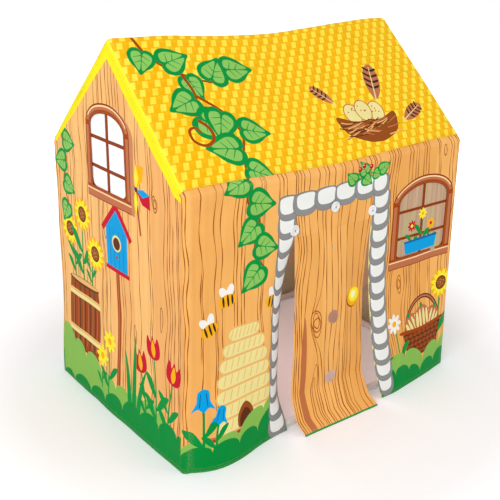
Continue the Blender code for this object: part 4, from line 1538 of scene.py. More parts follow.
class PathTree:
    """A Geometry Nodes tree with named inputs, run on paths and turned into a plain mesh."""

    def __init__(self, name: str, **sizes: float) -> None:
        """Start a tree.

        Args:
            name: The tree's name.
            sizes: Its named inputs and their values.
        """
        self.tree = bpy.data.node_groups.new(name, "GeometryNodeTree")
        self.sizes = sizes
        face = self.tree.interface
        for way in ("INPUT", "OUTPUT"):
            face.new_socket("Geometry", in_out=way, socket_type="NodeSocketGeometry")
        for size, value in sizes.items():
            kind = "NodeSocketInt" if isinstance(value, int) else "NodeSocketFloat"
            face.new_socket(size, in_out="INPUT", socket_type=kind)
        self.graph = Graph(self.tree)
        self.start = self.graph.node("NodeGroupInput").outputs
        self.curve = self.graph.node("GeometryNodeMeshToCurve", {0: self.start["Geometry"]}).outputs[0]

    def sweep(self, material: Material) -> "PathTree":
        """Sweep a round section along the paths, from the inputs Radius and Sides.

        Args:
            material: The material of the swept tube.

        Returns:
            The tree itself.
        """
        sockets = {"Resolution": self.start["Sides"], "Radius": self.start["Radius"]}
        ring = self.graph.node("GeometryNodeCurvePrimitiveCircle", sockets).outputs[0]
        sockets = {"Curve": self.curve, "Profile Curve": ring, "Fill Caps": True}
        return self.finish(self.graph.node("GeometryNodeCurveToMesh", sockets).outputs[0], material)

    def stitch(self, material: Material) -> "PathTree":
        """Lay short threads along the paths, from the inputs Pitch, Length, Radius and Seed.

        Args:
            material: The material of the thread.

        Returns:
            The tree itself.
        """
        graph, start = self.graph, self.start
        points = graph.node("GeometryNodeCurveToPoints", {"Curve": self.curve, "Length": start["Pitch"]},
                            mode="LENGTH").outputs
        bead = graph.node("GeometryNodeMeshUVSphere", {"Segments": 5, "Rings": 4, "Radius": 1.0}).outputs[0]
        vary = graph.node("FunctionNodeRandomValue", {"Seed": start["Seed"], 2: 0.44, 3: 0.54},
                          data_type="FLOAT").outputs[1]
        sockets = {0: start["Radius"], 1: start["Radius"], 2: graph.math("MULTIPLY", start["Length"], vary)}
        size = graph.node("ShaderNodeCombineXYZ", sockets).outputs[0]
        sockets = {"Points": points["Points"], "Instance": bead, "Scale": size, "Rotation": points["Rotation"]}
        return self.finish(graph.node("GeometryNodeInstanceOnPoints", sockets).outputs[0], material)

    def finish(self, geometry: Socket, material: Material) -> "PathTree":
        """End the tree with real geometry in one material.

        Args:
            geometry: The geometry to end with.
            material: Its material.

        Returns:
            The tree itself.
        """
        real = self.graph.node("GeometryNodeRealizeInstances", {0: geometry}).outputs[0]
        done = self.graph.node("GeometryNodeSetMaterial", {"Geometry": real, "Material": material})
        self.graph.node("NodeGroupOutput", {0: done.outputs[0]})
        return self

    def run(self, name: str, paths: list[list[Vector]]) -> Piece:
        """Run the tree on paths.

        Args:
            name: The name of the finished piece.
            paths: The points of each path.

        Returns:
            The piece, a plain mesh with smooth shading.
        """
        mesh = bpy.data.meshes.new(name)
        ends = np.cumsum([len(path) for path in paths])
        edges = [(i - 1, i) for path, end in zip(paths, ends) for i in range(end - len(path) + 1, end)]
        mesh.from_pydata([point for path in paths for point in path], edges, [])
        carrier = link(f"{name}_path", mesh)
        modifier = carrier.modifiers.new(name, "NODES")
        modifier.node_group = self.tree
        for item in self.tree.interface.items_tree:
            if item.in_out == "INPUT" and item.name in self.sizes:
                modifier[item.identifier] = self.sizes[item.name]
        bpy.context.view_layer.update()
        done = bpy.data.meshes.new_from_object(carrier.evaluated_get(bpy.context.evaluated_depsgraph_get()))
        done.name = name
        done.shade_smooth()
        bpy.data.objects.remove(carrier)
        return link(name, done)


@dataclass
class Sewing:
    """Rows of lockstitch: short threads that lie along a seam."""

    pitch: float = 0.0042
    length: float = 0.003
    radius: float = 0.00034
    seed: int = 11

    def rows(self, name: str, thread: SolidFinish, paths: list[list[Vector]]) -> Piece:
        """Sew along paths, and return the stitches as one mesh."""
        tree = PathTree("stitch_row", Pitch=self.pitch, Length=self.length, Radius=self.radius, Seed=self.seed)
        return tree.stitch(thread.make(f"{name}_thread")).run(name, paths)


@dataclass
class TubeFrame:
    """The push-fit frame: drawn tubes, moulded fittings and couplers."""

    tube: SolidFinish = SolidFinish(linear(244, 244, 241), 0.34)
    fitting: SolidFinish = SolidFinish(linear(228, 228, 224), 0.46)
    sides: int = 32
    eased: float = 0.0004
    weld: float = 0.00001
    sharp: float = 50
    moulded_sharp: float = 35
    ring_gap: float = 0.004

    def build(self, nodes: dict[str, Piece]) -> None:
        """Dress every tube and fitting.

        Args:
            nodes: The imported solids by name.
        """
        low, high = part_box("front_left_post")
        tree = PathTree("push_fit_tube", Radius=(high.x - low.x) / 2, Sides=self.sides)
        tree.sweep(self.tube.make("tube_plastic"))
        fitting = self.fitting.make("fitting_plastic")
        for name in sorted(nodes):
            if name.endswith("coupler") or name.startswith(("floor_corner", "eave_corner", "ridge_joint")):
                self.moulding(nodes[name], fitting)
            elif any(word in name for word in ("_post", "_rafter", "rail", "pole_")):
                piece = tree.run(f"{name}_tube", [self.centre_line(nodes[name])])
                piece.data.set_sharp_from_angle(angle=math.radians(self.sharp))
                stand_for(piece, name)

    def moulding(self, node: Piece, material: Material) -> None:
        """Make a smooth copy of a moulded solid, with its edges eased.

        Args:
            node: The solid.
            material: The material of its copy.
        """
        bm = bmesh.new()
        bm.from_mesh(node.data)
        bmesh.ops.remove_doubles(bm, verts=bm.verts, dist=self.weld)
        piece = shaped(f"{node.name}_moulding", bm, material, self.moulded_sharp)
        ease = piece.modifiers.new("eased_edges", "BEVEL")
        ease.width = self.eased
        ease.segments = 2
        ease.limit_method = "ANGLE"
        ease.angle_limit = math.radians(self.sharp)
        stand_for(piece, node.name)

    def centre_line(self, node: Piece) -> list[Vector]:
        """The points of a tube's axis, from the rings of its solid.

        Args:
            node: The tube's solid.

        Returns:
            One point for each ring, from end to end.
        """
        points = np.array([vert.co for vert in node.data.vertices])
        middle = points.mean(axis=0)
        along = (points - middle) @ np.linalg.svd(points - middle, full_matrices=False)[2][0]
        order = np.argsort(along)
        rings = np.split(points[order], np.nonzero(np.diff(along[order]) > self.ring_gap)[0] + 1)
        return [Vector((ring.min(axis=0) + ring.max(axis=0)) / 2) for ring in rings]


def shaped(name: str, bm: bmesh.types.BMesh, material: Material, sharp: float) -> Piece:
    """Turn an edited mesh into a smooth piece.

    Args:
        name: The piece's name.
        bm: The edited mesh, which is freed.
        material: The piece's material.
        sharp: The angle in degrees from which an edge stays sharp.

    Returns:
        The piece.
    """
    mesh = bpy.data.meshes.new(name)
    bm.to_mesh(mesh)
    bm.free()
    mesh.materials.append(material)
    mesh.shade_smooth()
    mesh.set_sharp_from_angle(angle=math.radians(sharp))
    return link(name, mesh)


@dataclass
class Fixings:
    """The snap discs over the door, and the stud and fastener patches on the flap.

    Each profile runs from its front middle to its back middle, in shares of its radius and depth.
    """

    flap: ClothPanel
    left: float
    disc: Outline = field(default_factory=lambda: [
        (0.0, 0.55), (0.12, 0.55), (0.16, 1.35), (0.28, 1.4), (0.32, 1.25), (0.38, 0.5), (0.54, 0.45), (0.6, 1.2),
        (0.66, 1.3), (0.84, 1.26), (0.93, 1.05), (0.98, 0.7), (1.0, 0.4), (0.98, 0.05), (0.9, 0.0), (0.0, 0.0)])
    rivet: Outline = field(default_factory=lambda: [
        (0, 0.8), (0.091, 0.8), (0.13, 0.74), (0.13, 0.2), (0.22, 0.2), (0.22, 0.04), (0.176, 0), (0, 0)])
    stud: Outline = field(default_factory=lambda: [
        (0, 1), (0.35, 1), (0.45, 0.94), (0.8, 0.93), (1, 0.84), (1, 0.7), (0.3, 0.68), (0.3, 0.3), (0.7, 0.25),
        (0.7, 0), (0, 0)])
    disc_depth: float = 0.0022
    sharp: float = 40
    loops: int = 420
    pile_radius: float = 0.00016
    pile_share: float = 0.94
    patch_lift: float = 0.0014
    loop_lifts: Array = field(default_factory=lambda: 0.0013 + np.array((0, 0.0006, 0.0009, 0.0006, 0)))

    def build(self) -> None:
        """Make every fixing."""
        clear = SolidFinish(linear(246, 246, 246), 0.24, 0.1).make("snap_clear")
        # The rivets are coloured near black as painted shade, for the shadow down the hole in each snap disc.
        hole_shade = SolidFinish(linear(38, 34, 32), 0.45).make("snap_core")
        metal = SolidFinish(linear(232, 190, 134), 0.3).make("snap_stud")
        for side in ("left", "right", "top"):
            disc, rivet = f"door_disc_{side}", f"door_rivet_{side}"
            self.turned(f"snap_disc_{side}", disc, self.disc, 64, self.disc_depth, clear)
            low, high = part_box(rivet)
            self.turned(f"snap_rivet_{side}", rivet, self.rivet, 24, high.y - low.y, hole_shade,
                        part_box(disc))
        low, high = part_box("door_stud")
        self.turned("door_snap_stud", "door_stud", self.stud, 32, high.y - low.y, metal,
                    body="door_top")
        self.patch("upper", yarn(200, 148, 122))
        self.patch("lower", yarn(232, 198, 184))

    def turned(self, name: str, node: str, profile: Outline, turns: int, deep: float, material: Material,
               wide: tuple[Vector, Vector] | None = None, body: str = "house") -> None:
        """Make a turned piece that faces the front, closed at its axis.

        Args:
            name: The piece's name.
            node: The solid that it stands for.
            profile: Its profile.
            turns: How many faces go round.
            deep: Its depth.
            material: Its material.
            wide: The box of the solid that gives its radius, where that is another.
            body: The moving part that it rides on.
        """
        low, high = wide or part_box(node)
        radius = (high.x - low.x) / 2
        bm = bmesh.new()
        rings = []
        for across, up in profile:
            circle = arc(across, across, 0, FULL_TURN, turns)[1:] if across else [(0, 0)]
            rings.append([bm.verts.new((radius * x, radius * y, up * deep)) for x, y in circle])
        for upper, lower in zip(rings, rings[1:]):
            for i in range(turns):
                corners = [ring[(i + k) % turns % len(ring)] for ring, k in
                           ((upper, 0), (lower, 0), (lower, 1), (upper, 1))]
                bm.faces.new(list(dict.fromkeys(corners)))
        bmesh.ops.recalc_face_normals(bm, faces=bm.faces)
        at = Vector(((low.x + high.x) / 2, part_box(node)[1].y, (low.z + high.z) / 2))
        bm.transform(Matrix.Translation(at) @ Matrix.Rotation(QUARTER_TURN, 4, "X"))
        stand_for(shaped(name, bm, material, self.sharp), node, body)

    def patch(self, which: str, finish: SolidFinish) -> None:
        """Make a fastener patch: a sewn disc that follows the flap, covered with short loops.

        Args:
            which: The upper or the lower patch.
            finish: Its pile.
        """
        low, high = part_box(f"door_patch_{which}")
        radius = (high.x - low.x) / 2
        x, y = (low.x + high.x) / 2 - self.left, (low.z + high.z) / 2
        material = finish.make(f"{which}_pile")
        disc = ClothPanel(f"fastener_patch_{which}", oval(x, y, radius, radius, count=40),
                          lambda u, v: self.flap.place(u, v, self.patch_lift), [], step=0.004, ripple=0.0)
        stand_for(disc.build([material], back_slot=0), f"door_patch_{which}", "door_bottom")
        rng = random.Random(21)
        paths = []
        for _ in range(self.loops):
            reach, angle = radius * self.pile_share * math.sqrt(rng.random()), rng.uniform(0, FULL_TURN)
            heading, span = rng.uniform(0, FULL_TURN), rng.uniform(0.0008, 0.0014)
            shares = np.array((-1, -0.6, 0, 0.6, 1)) * span
            loop = self.flap.place(x + reach * math.cos(angle) + shares * math.cos(heading),
                                   y + reach * math.sin(angle) + shares * math.sin(heading), self.loop_lifts)
            paths.append([Vector(point) for point in loop])
        pile = PathTree("looped_pile", Radius=self.pile_radius, Sides=3).sweep(material)
        piece = pile.run(f"fastener_pile_{which}", paths)
        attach(piece, "door_bottom")


@dataclass
class Cover:
    """The cloth cover: four walls, the roof, the flap, the films and the sewing."""

    hang: Hang
    front_window: Opening = Opening(0.205, 0.215, 0.047, 0.0115, 0.009)
    gable_window: Opening = Opening(0.175, 0.21, 0.04, 0.015, 0.0105)
    trim_roll: float = 0.0135
    inset: float = 0.005
    hem_row: float = 0.014
    seam_end: float = 0.02
    ring_margin: float = 0.004
    grain_over: float = 0.005
    flap_gap: float = 0.0001
    fold_reach: float = 0.012
    finish: ClothFinish = ClothFinish()
    planks: WoodPrint = WoodPrint(linear(250, 186, 104), linear(238, 168, 86))
    # The gable's wood print is lighter than the front's as painted light, for the stronger light that falls on the
    # gable side.
    lit_gable_planks: WoodPrint = WoodPrint(linear(254, 198, 124), linear(236, 170, 100))
    seams: list[list[Vector]] = field(default_factory=list)

    @property
    def half(self) -> float:
        """Half the width of the front wall's, the back wall's and the roof's pattern."""
        return self.hang.post_x + self.hang.wrap

    @property
    def grain_top(self) -> float:
        """Where the grain lines end, over the top of the long walls."""
        return self.hang.wall_top + self.grain_over

    def build(self) -> None:
        """Make every piece of cloth and film, then sew them."""
        self.build_roof()
        self.build_front_wall()
        self.build_back_wall()
        for side in (-1, 1):
            self.build_gable(side)
        flap = self.build_flap()
        self.build_films()
        stitches = Sewing().rows("cover_stitches", yarn(150, 142, 84), self.seams)
        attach(stitches, "house")
        LOG.info("%s: %d rows", stitches.name, len(self.seams))
        Fixings(flap, self.hang.door_left).build()

    def put_up(self, panel: ClothPanel, print_: Print, node: str) -> None:
        """Make a cloth, let it stand for its solid, and say what it was cut to.

        Args:
            panel: The cloth's pattern.
            print_: Its print.
            node: The solid that it stands for.
        """
        piece = panel.build(self.finish.make(panel.name, print_))
        stand_for(piece, node)
        panel.size()
        LOG.info("%s: %.3f square metres of cloth", piece.name, panel.area)

    def sew(self, panel: ClothPanel, *rows: Iterable[Point]) -> None:
        """Add rows of stitches through places on a cloth's pattern."""
        self.seams += [panel.row(*row) for row in rows]

    def build_roof(self) -> None:
        """Make the roof sheet over the ridge."""
        half, length = self.half, self.hang.roof_length
        art = twin(bar(Ink.TRIM, half - self.trim_roll, 0, half, length))
        for motif, x, y, size, turn in ((FEATHER, 0.262, 0.17, 0.13, -0.35), (nest(), 0.19, 0.105, 0.215, -0.1),
                                        (FEATHER, 0.322, 0.085, 0.1, -1.15), (FEATHER, 0.108, 0.19, 0.085, 0.65)):
            art += stamp(motif, x, y, size, turn)
        routes = (([(-0.43, 0.455), (-0.405, 0.385), (-0.34, 0.33), (-0.25, 0.3), (-0.2, 0.345)],
                   [0.16, 0.36, 0.55, 0.74, 0.97], 0.092),
                  ([(-0.34, 0.33), (-0.33, 0.26), (-0.36, 0.19), (-0.335, 0.12)], [0.4, 0.66], 0.105),
                  ([(-0.33, 0.26), (-0.27, 0.2), (-0.25, 0.13), (-0.285, 0.06), (-0.3, 0.01)],
                   [0.22, 0.45, 0.68, 0.9], 0.098),
                  ([(0.4, length - 0.02), (0.34, length - 0.12), (0.37, length - 0.24)], [0.15, 0.45, 0.7, 0.95],
                   0.09))
        for number, (route, shares, size) in enumerate(routes):
            art += climber(route, shares, size, 0.0095, 31 + number)
        art += stamp(TENDRIL, -0.36, 0.185, 0.095)
        fold, inset = half - self.hang.wrap / 2, self.inset
        panel = ClothPanel(
            "roof_cloth", box_outline(-half, 0, half, length), self.hang.roof, art, seed=3, ripple=0.0005,
            pinches=((-0.47, 0.02, -0.36, 0.11, 0.002, 0.009), (0.47, 0.02, 0.35, 0.13, 0.0022, 0.009),
                     (0.47, 0.42, 0.33, 0.33, 0.0018, 0.01), (-0.47, 0.43, -0.36, 0.35, 0.0015, 0.009)),
            gathered=((-half, 0, half, 0), (-half, length, half, length)),
            rubbed=((-fold, 0, -fold, length), (fold, 0, fold, length), (-half, length / 2, half, length / 2)))
        carried_by = [f"ridge_pole_{side}" for side in ("left", "right")]
        carried_by += [f"{face}_{side}_rafter" for face in ("front", "back") for side in ("left", "right")]
        self.put_up(panel, TilePrint(), "roof_sheet")
        for side, level in ((-1, inset), (1, length - inset)):
            edge = side * (half - inset)
            self.sew(panel, ((side * half, level), (-side * half, level)),
                     ((edge, inset), (edge, length - inset)))

    def stones(self) -> Drawing:
        """The stones round the doorway, from the foot of each column up, and the bound right edge.

        Returns:
            The drawing.
        """
        hang, rng = self.hang, random.Random(8)
        art = bar(Ink.CREAM, hang.door_right - 0.001, 0.0, hang.door_right + 0.0045, hang.door_top)
        left, right = hang.door_left - 0.026, hang.door_right + 0.03
        for middle, foot, pitch, taper in ((left - 0.008, -0.0045, 0.0535, 0.016),
                                           (right + 0.006, 0.0027, 0.0533, 0.004)):
            for i in range(12):
                shrink = taper * i / 11
                art += stone(middle + shrink / 2, foot + pitch * i, 0.074 - shrink, pitch * 1.3, rng)
        lintel = [(hang.door_left + 0.036 + i * 0.0735, 0.6425 + i * 0.0012, 0.086, 0.068) for i in range(4)]
        for place in ((left + 0.003, 0.6385, 0.066, 0.07), *lintel, (right, 0.644, 0.066, 0.066)):
            art += stone(*place, rng, False)
        return art

    def grain(self, left: float, right: float, seed: int) -> Drawing:
        """The grain of a stretch of the front or back wall.

        Args:
            left: Where it starts.
            right: Where it ends.
            seed: The seed of its lines.

        Returns:
            The drawing.
        """
        knots = (Knot(-0.215, 0.235, 0.05, 0.012), Knot(0.262, 0.345, 0.05, 0.013, loops=2),
                 Knot(0.425, 0.735, 0.03, 0.01))
        inside = tuple(knot for knot in knots if left < knot.u < right)
        return Grain(left, right, self.grain_top, seed, inside).draw()

    def door_grain(self) -> Drawing:
        """The grain of the doorway's planks, which runs on from the wall down the flap.

        Returns:
            The drawing.
        """
        left, right = self.hang.door_left, self.hang.door_right
        knots = (Knot(left + 0.079, 0.318, 0.07, 0.026, 0.066, 0.033, 3),
                 Knot(left + 0.082, 0.04, 0.27, 0.019, loops=2),
                 Knot(left + 0.172, 0.06, 0.3, 0.009, 0.03), Knot(left + 0.206, 0.1, 0.39, 0.01, 0.03))
        shares = (0.02, 0.045, 0.08, 0.116, 0.18, 0.29, 0.36, 0.4, 0.477, 0.564, 0.6, 0.7, 0.78, 0.9, 0.965)
        return Grain(left, right, self.grain_top, 17, knots, shares=shares).draw()

    def front_artwork(self) -> Drawing:
        """The print of the front wall.

        Returns:
            The drawing.
        """
        half, left, right = self.half, self.hang.door_left, self.hang.door_right
        art = self.grain(-half, left, 12) + self.door_grain() + self.grain(right, half, 15)
        art += stamp(SKEP, -0.32, 0.095, 0.205)
        for x, z, turn in ((-0.43, 0.395, 0.3), (-0.222, 0.42, -0.2), (-0.375, 0.462, 0.1)):
            art += stamp(BEE, x, z, 0.055, turn)
        art += bush(Ink.LIGHT_GREEN, 0.085, 3, (-half, 0.075), (-0.4, 0.065), (-0.3, 0.095), (-0.23, 0.13),
                    (-0.17, 0.1))
        art += stalk(BELLFLOWER, -0.452, 0.05, 0.188, 0.0, 0.062)
        art += stalk(BELLFLOWER, -0.42, 0.05, 0.13, 0.022, 0.05, turn=-0.26)
        art += bush(Ink.DARK_GREEN, 0.085, 4, (-half, 0.055), (-0.4, 0.065), (-0.3, 0.055), (-0.22, 0.08),
                    (left, 0.09))
        art += stalk(SUNFLOWER, 0.448, 0.06, 0.24, 0.013, 0.052, 0.008)
        art += stamp(BASKET, 0.37, 0.085, 0.19)
        art += stalk(daisy(), 0.25, 0.05, 0.172, -0.015, 0.032)
        art += bush(Ink.LIGHT_GREEN, 0.078, 5, (0.19, 0.095), (0.27, 0.11), (0.33, 0.07), (0.42, 0.07),
                    (half, 0.11))
        art += bush(Ink.DARK_GREEN, 0.075, 6, (right, 0.065), (0.22, 0.065), (0.3, 0.055), (0.36, 0.03),
                    (0.43, 0.04), (half, 0.05))
        art += self.stones()
        art += climber([(-0.3, 0.8), (-0.315, 0.72), (-0.275, 0.655), (-0.29, 0.585), (-0.262, 0.53)],
                       [0.1, 0.3, 0.52, 0.74, 0.97], 0.084, 0.009, 51)
        art += stamp(BERRY_SPRIG, 0.045, 0.7, 0.11, 0.1)
        return art + stamp(self.front_window.frame(False), *self.window_at("front"))

    def window_at(self, word: str) -> Point:
        """Find a window in its wall.

        Args:
            word: The first word of its film's name.

        Returns:
            How far along the wall its middle lies, and how high its sill.
        """
        low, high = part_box(f"{word}_window_film")
        along = (low + high) / 2
        return along.x if word == "front" else along.y - self.hang.centre_y, low.z + self.front_window.margin

    def build_front_wall(self) -> None:
        """Make the front wall with its doorway and window."""
        hang, half, inset = self.hang, self.half, self.inset
        outline = [(-half, hang.hem), (hang.door_left, hang.hem), (hang.door_left, hang.door_top),
                   (hang.door_right, hang.door_top), (hang.door_right, hang.hem), (half, hang.hem),
                   (half, hang.wall_top), (-half, hang.wall_top)]
        x, sill = self.window_at("front")
        eave = hang.eave_axis + 0.006
        panel = ClothPanel(
            "front_cloth", outline, lambda u, v: hang.wall(u, v, -1), self.front_artwork(),
            [moved(self.front_window.outline(), x, sill)], seed=14,
            pinches=((-0.488, 0.742, -0.4, 0.6, 0.0024, 0.007), (-0.486, 0.755, -0.36, 0.725, 0.002, 0.007),
                     (0.488, 0.742, 0.452, 0.56, 0.0024, 0.007), (0.485, 0.752, 0.36, 0.715, 0.0026, 0.008),
                     (-0.45, 0.06, -0.43, 0.55, 0.002, 0.012), (0.25, 0.06, 0.215, 0.48, 0.0026, 0.013),
                     (hang.door_left - 0.02, 0.56, -0.36, 0.35, 0.0018, 0.014),
                     (hang.door_right + 0.02, 0.57, 0.22, 0.7, 0.0018, 0.01)),
            gathered=((-half, hang.wall_top, half, hang.wall_top), (-half, 0.02, hang.door_left, 0.02)),
            rubbed=((-hang.post_x, 0, -hang.post_x, 0.75), (hang.post_x, 0, hang.post_x, 0.75),
                    (-half, hang.hem, half, hang.hem), (-half, eave, half, eave)),
            calm=(hang.door_left, hang.door_top, hang.door_right, hang.door_top))
        self.put_up(panel, self.planks, "front_wall")
        ring = moved(self.front_window.outline(self.ring_margin), x, sill)
        self.sew(panel, [*ring, ring[0]])
        for edge, end in ((hang.door_left - inset, -half), (hang.door_right + inset, half)):
            self.sew(panel, ((end, self.hem_row), (edge, self.hem_row)),
                     ((edge, self.seam_end), (edge, hang.door_top + self.seam_end)))

    def build_back_wall(self) -> None:
        """Make the back wall, which has no opening."""
        hang, half = self.hang, self.half
        art = self.grain(-half, half, 22) + tub(0.24, 0.09) + stamp(birdhouse(4.0), -0.3, 0.06, 0.1)
        art += bush(Ink.LIGHT_GREEN, 0.075, 60, (-half, 0.12), (-0.3, 0.15), (0.0, 0.1), (0.25, 0.13),
                    (half, 0.14))
        art += bush(Ink.DARK_GREEN, 0.07, 61, (-half, 0.06), (-0.2, 0.075), (0.1, 0.055), (half, 0.08))
        art += climber([(0.44, 0.79), (0.42, 0.68), (0.45, 0.57), (0.41, 0.47)], [0.12, 0.36, 0.6, 0.97], 0.08,
                       0.009, 66)
        for x, high in ((-0.12, 0.12), (0.02, 0.09), (0.4, 0.14)):
            art += stalk(daisy(), x, 0.05, high, 0.0, 0.026, 0.005)
        panel = ClothPanel(
            "back_cloth", box_outline(-half, hang.hem, half, hang.wall_top), lambda u, v: hang.wall(u, v, 1), art,
            seed=24, ripple=0.0012,
            pinches=((-0.486, 0.745, -0.36, 0.62, 0.0022, 0.008), (0.486, 0.745, 0.36, 0.62, 0.0022, 0.008),
                     (-0.2, 0.03, -0.17, 0.42, 0.0022, 0.016), (0.14, 0.03, 0.12, 0.36, 0.002, 0.014)),
            gathered=((-half, hang.wall_top, half, hang.wall_top),),
            rubbed=((-hang.post_x, 0, -hang.post_x, 0.75), (hang.post_x, 0, hang.post_x, 0.75)))
        self.put_up(panel, self.planks, "back_wall")
        self.sew(panel, ((-half, self.hem_row), (half, self.hem_row)))

    def gable_artwork(self, side: int) -> Drawing:
        """The print of a gable wall, drawn as the left one and mirrored for the right.

        Args:
            side: -1 for the left one, 1 for the right one.

        Returns:
            The drawing.
        """
        half = self.hang.post_y
        knots = (Knot(0.215, 0.705, 0.04, 0.013, loops=2), Knot(-0.045, 0.565, 0.045, 0.01),
                 Knot(0.235, 0.4, 0.06, 0.01), Knot(0.1, 0.3, 0.05, 0.01))
        art = Grain(-half, half, self.hang.gable_top(0.0), 73, knots, 0.0105, 0.034, 0.0034).draw()
        art += tub(-0.19, 0.13) + stamp(birdhouse(3.35), 0.015, 0.085, 0.112)
        art += bush(Ink.LIGHT_GREEN, 0.085, 71, (-half, 0.17), (-0.27, 0.15), (-0.15, 0.11), (0.0, 0.095),
                    (0.12, 0.105), (0.22, 0.125), (0.29, 0.065), (half, 0.04))
        for x, lean, high in ((0.215, -0.018, 0.195), (0.27, 0.016, 0.16), (0.165, -0.03, 0.13)):
            art += stalk(TULIP, x, 0.073, high, lean, 0.066, 0.008, 3, -lean * 8)
        for x, lean, high in ((0.08, -0.034, 0.19), (0.1, 0.0, 0.25), (0.12, 0.04, 0.17)):
            knee = x + lean * 0.4, 0.05 + high * 0.6
            art += blob(Ink.LEAF_GREEN, (x - 0.01, 0.05), (knee[0] - 0.009, knee[1]), (x + lean, 0.05 + high),
                        (knee[0] + 0.009, knee[1]), (x + 0.01, 0.05))
        for x, high in ((-0.08, 0.105), (-0.04, 0.165)):
            art += stalk(daisy(Ink.YELLOW, Ink.AMBER), x, 0.06, high, 0.0, 0.034, 0.006)
        art += bush(Ink.DARK_GREEN, 0.085, 72, (-half, 0.004), (-0.22, 0.012), (-0.05, 0.035), (0.08, 0.06),
                    (0.2, 0.08), (half, 0.1))
        art += climber([(-0.255, 0.86), (-0.285, 0.79), (-0.262, 0.72), (-0.285, 0.65), (-0.262, 0.58)],
                       [0.1, 0.32, 0.55, 0.78, 0.98], 0.076, 0.008, 73)
        art += stamp(PINWHEEL, 0.128, 0.722, 0.066)
        peak = [(0.0, 1.2), (0.0, 1.035)]
        art += flat(Ink.TRIM, [(-0.4, 0.758), (-0.4, 1.2), *peak, (-0.318, 0.758)],
                    [(0.4, 0.741), (0.4, 1.2), *peak, (0.304, 0.751), (0.335, 0.741)])
        x, sill = self.window_at("left")
        return stamp(art, flip=-side) + stamp(self.gable_window.frame(True), side * x, sill)

    def build_gable(self, side: int) -> None:
        """Make a gable wall with its window.

        Args:
            side: -1 for the left one, 1 for the right one.
        """
        hang = self.hang
        word = "left" if side < 0 else "right"
        half, inset = hang.post_y - hang.seam_gap, self.inset
        eave, peak = hang.gable_top(half), hang.gable_top(0.0)
        x, sill = self.window_at("left")
        panel = ClothPanel(
            f"{word}_gable_cloth", both_sides([(half, hang.hem), (half, eave), (0.0, peak)]),
            lambda u, v: hang.gable(u, v, side), self.gable_artwork(side),
            [moved(self.gable_window.outline(), side * x, sill)], seed=30 + side, ripple=0.0008,
            pinches=((0.3, 0.73, 0.2, 0.6, 0.0018, 0.009), (-0.3, 0.73, -0.21, 0.62, 0.0016, 0.009),
                     (0.24, 0.04, 0.2, 0.4, 0.0018, 0.016), (-0.05, 0.03, -0.07, 0.35, 0.0016, 0.014)),
            gathered=((-half, eave, 0, peak), (half, eave, 0, peak), (-half, 0.02, half, 0.02)), gather=0.0004,
            rubbed=((-half, 0, half, 0),))
        self.put_up(panel, self.lit_gable_planks, f"{word}_gable_wall")
        ring = moved(self.gable_window.outline(self.ring_margin), side * x, sill)
        self.sew(panel, [*ring, ring[0]], ((-half, self.hem_row), (half, self.hem_row)))
        for edge in (inset - half, half - inset):
            self.sew(panel, ((edge, self.seam_end), (edge, eave - inset)), ((edge, eave - inset), (0, peak - inset)))

    def build_flap(self) -> ClothPanel:
        """Make the door flap, one cloth over both of its solids.

        Returns:
            Its pattern.
        """
        hang, inset = self.hang, self.inset
        width, top = hang.door_right - hang.door_left, hang.door_top - self.flap_gap
        art = stamp(self.door_grain(), -hang.door_left)
        art += blob(Ink.DOOR_STRIPE, (0.028, -0.01), (0.029, 0.12), (0.028, 0.26), (0.036, 0.345), (0.045, 0.27),
                    (0.048, 0.12), (0.049, -0.01), steps=6)
        art += bar(Ink.DARK_GREEN, 0, 0, width, 0.0055)
        for ink, x, z, wide, tall in ((Ink.BROWN, 0.2325, 0.354, 0.031, 0.0292),
                                      (Ink.AMBER, 0.2365, 0.357, 0.031, 0.029),
                                      (Ink.YELLOW, 0.2385, 0.361, 0.024, 0.0215),
                                      (Ink.KNOB_LIGHT, 0.2355, 0.363, 0.011, 0.0115)):
            art += dot(ink, x, z, wide, tall, -0.4)
        panel = ClothPanel(
            "door_cloth", box_outline(0, hang.hem, width, top), hang.door, art, seed=44, ripple=0.0009,
            pinches=((0.0, 0.585, 0.1, 0.44, 0.0016, 0.008), (width, 0.585, 0.19, 0.47, 0.0018, 0.008),
                     (0.02, 0.05, 0.27, 0.085, 0.0012, 0.004), (0.27, 0.1, 0.03, 0.07, 0.001, 0.006)),
            gathered=((0, 0.01, width, 0.01),), gather=0.0004, calm=(0, top, width, top), step=0.006, wave=0.12,
            rubbed=((0, 0, width, 0), (0, 0, 0, top), (width, 0, width, top)))
        piece = panel.build(self.finish.make("door", self.planks))
        low, high = 0.01, top - inset
        stitches = Sewing().rows("door_stitches", yarn(236, 214, 170), [panel.row(
            (inset, high), (inset, low), (width - inset, low), (width - inset, high))])
        for item in (piece, stitches):
            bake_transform(item)
        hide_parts("door_flap_upper", "door_flap_lower")
        panel.size()
        LOG.info("%s: %.3f square metres of cloth", piece.name, panel.area)
        return panel

    def build_films(self) -> None:
        """Make the films behind the three windows, with their printed bars."""
        clear = FilmFinish(0.97, linear(254, 254, 254), linear(248, 248, 248), linear(250, 250, 250))
        # The front film's grey-beige tone and olive patches are painted shade: they stand for the dim inside of the
        # tent, the reverse of the back wall, seen through the film.
        shaded_film = FilmFinish(0.92, linear(212, 176, 142), linear(184, 146, 114), linear(186, 184, 122))
        for word, window, film, heading in (("front", self.front_window, shaded_film, (1, 0)),
                                            ("left", self.gable_window, clear, (0, -1)),
                                            ("right", self.gable_window, clear, (0, 1))):
            low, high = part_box(f"{word}_window_film")
            centre = (low + high) / 2
            art = window.bars()
            if word == "front":
                art += stamp(flower_box(), 0.002, 0.004, 0.14, 0.02)
            panel = ClothPanel(
                f"{word}_film", window.outline(window.margin),
                lambda u, v: np.stack([centre.x + heading[0] * u, centre.y + heading[1] * u,
                                       low.z + window.margin + v], axis=1),
                art, seed=80, ripple=0.0002, wave=0.1, step=0.009, thickness=0.0005)
            stand_for(panel.build(film.make(panel.name), 1, 0), f"{word}_window_film")


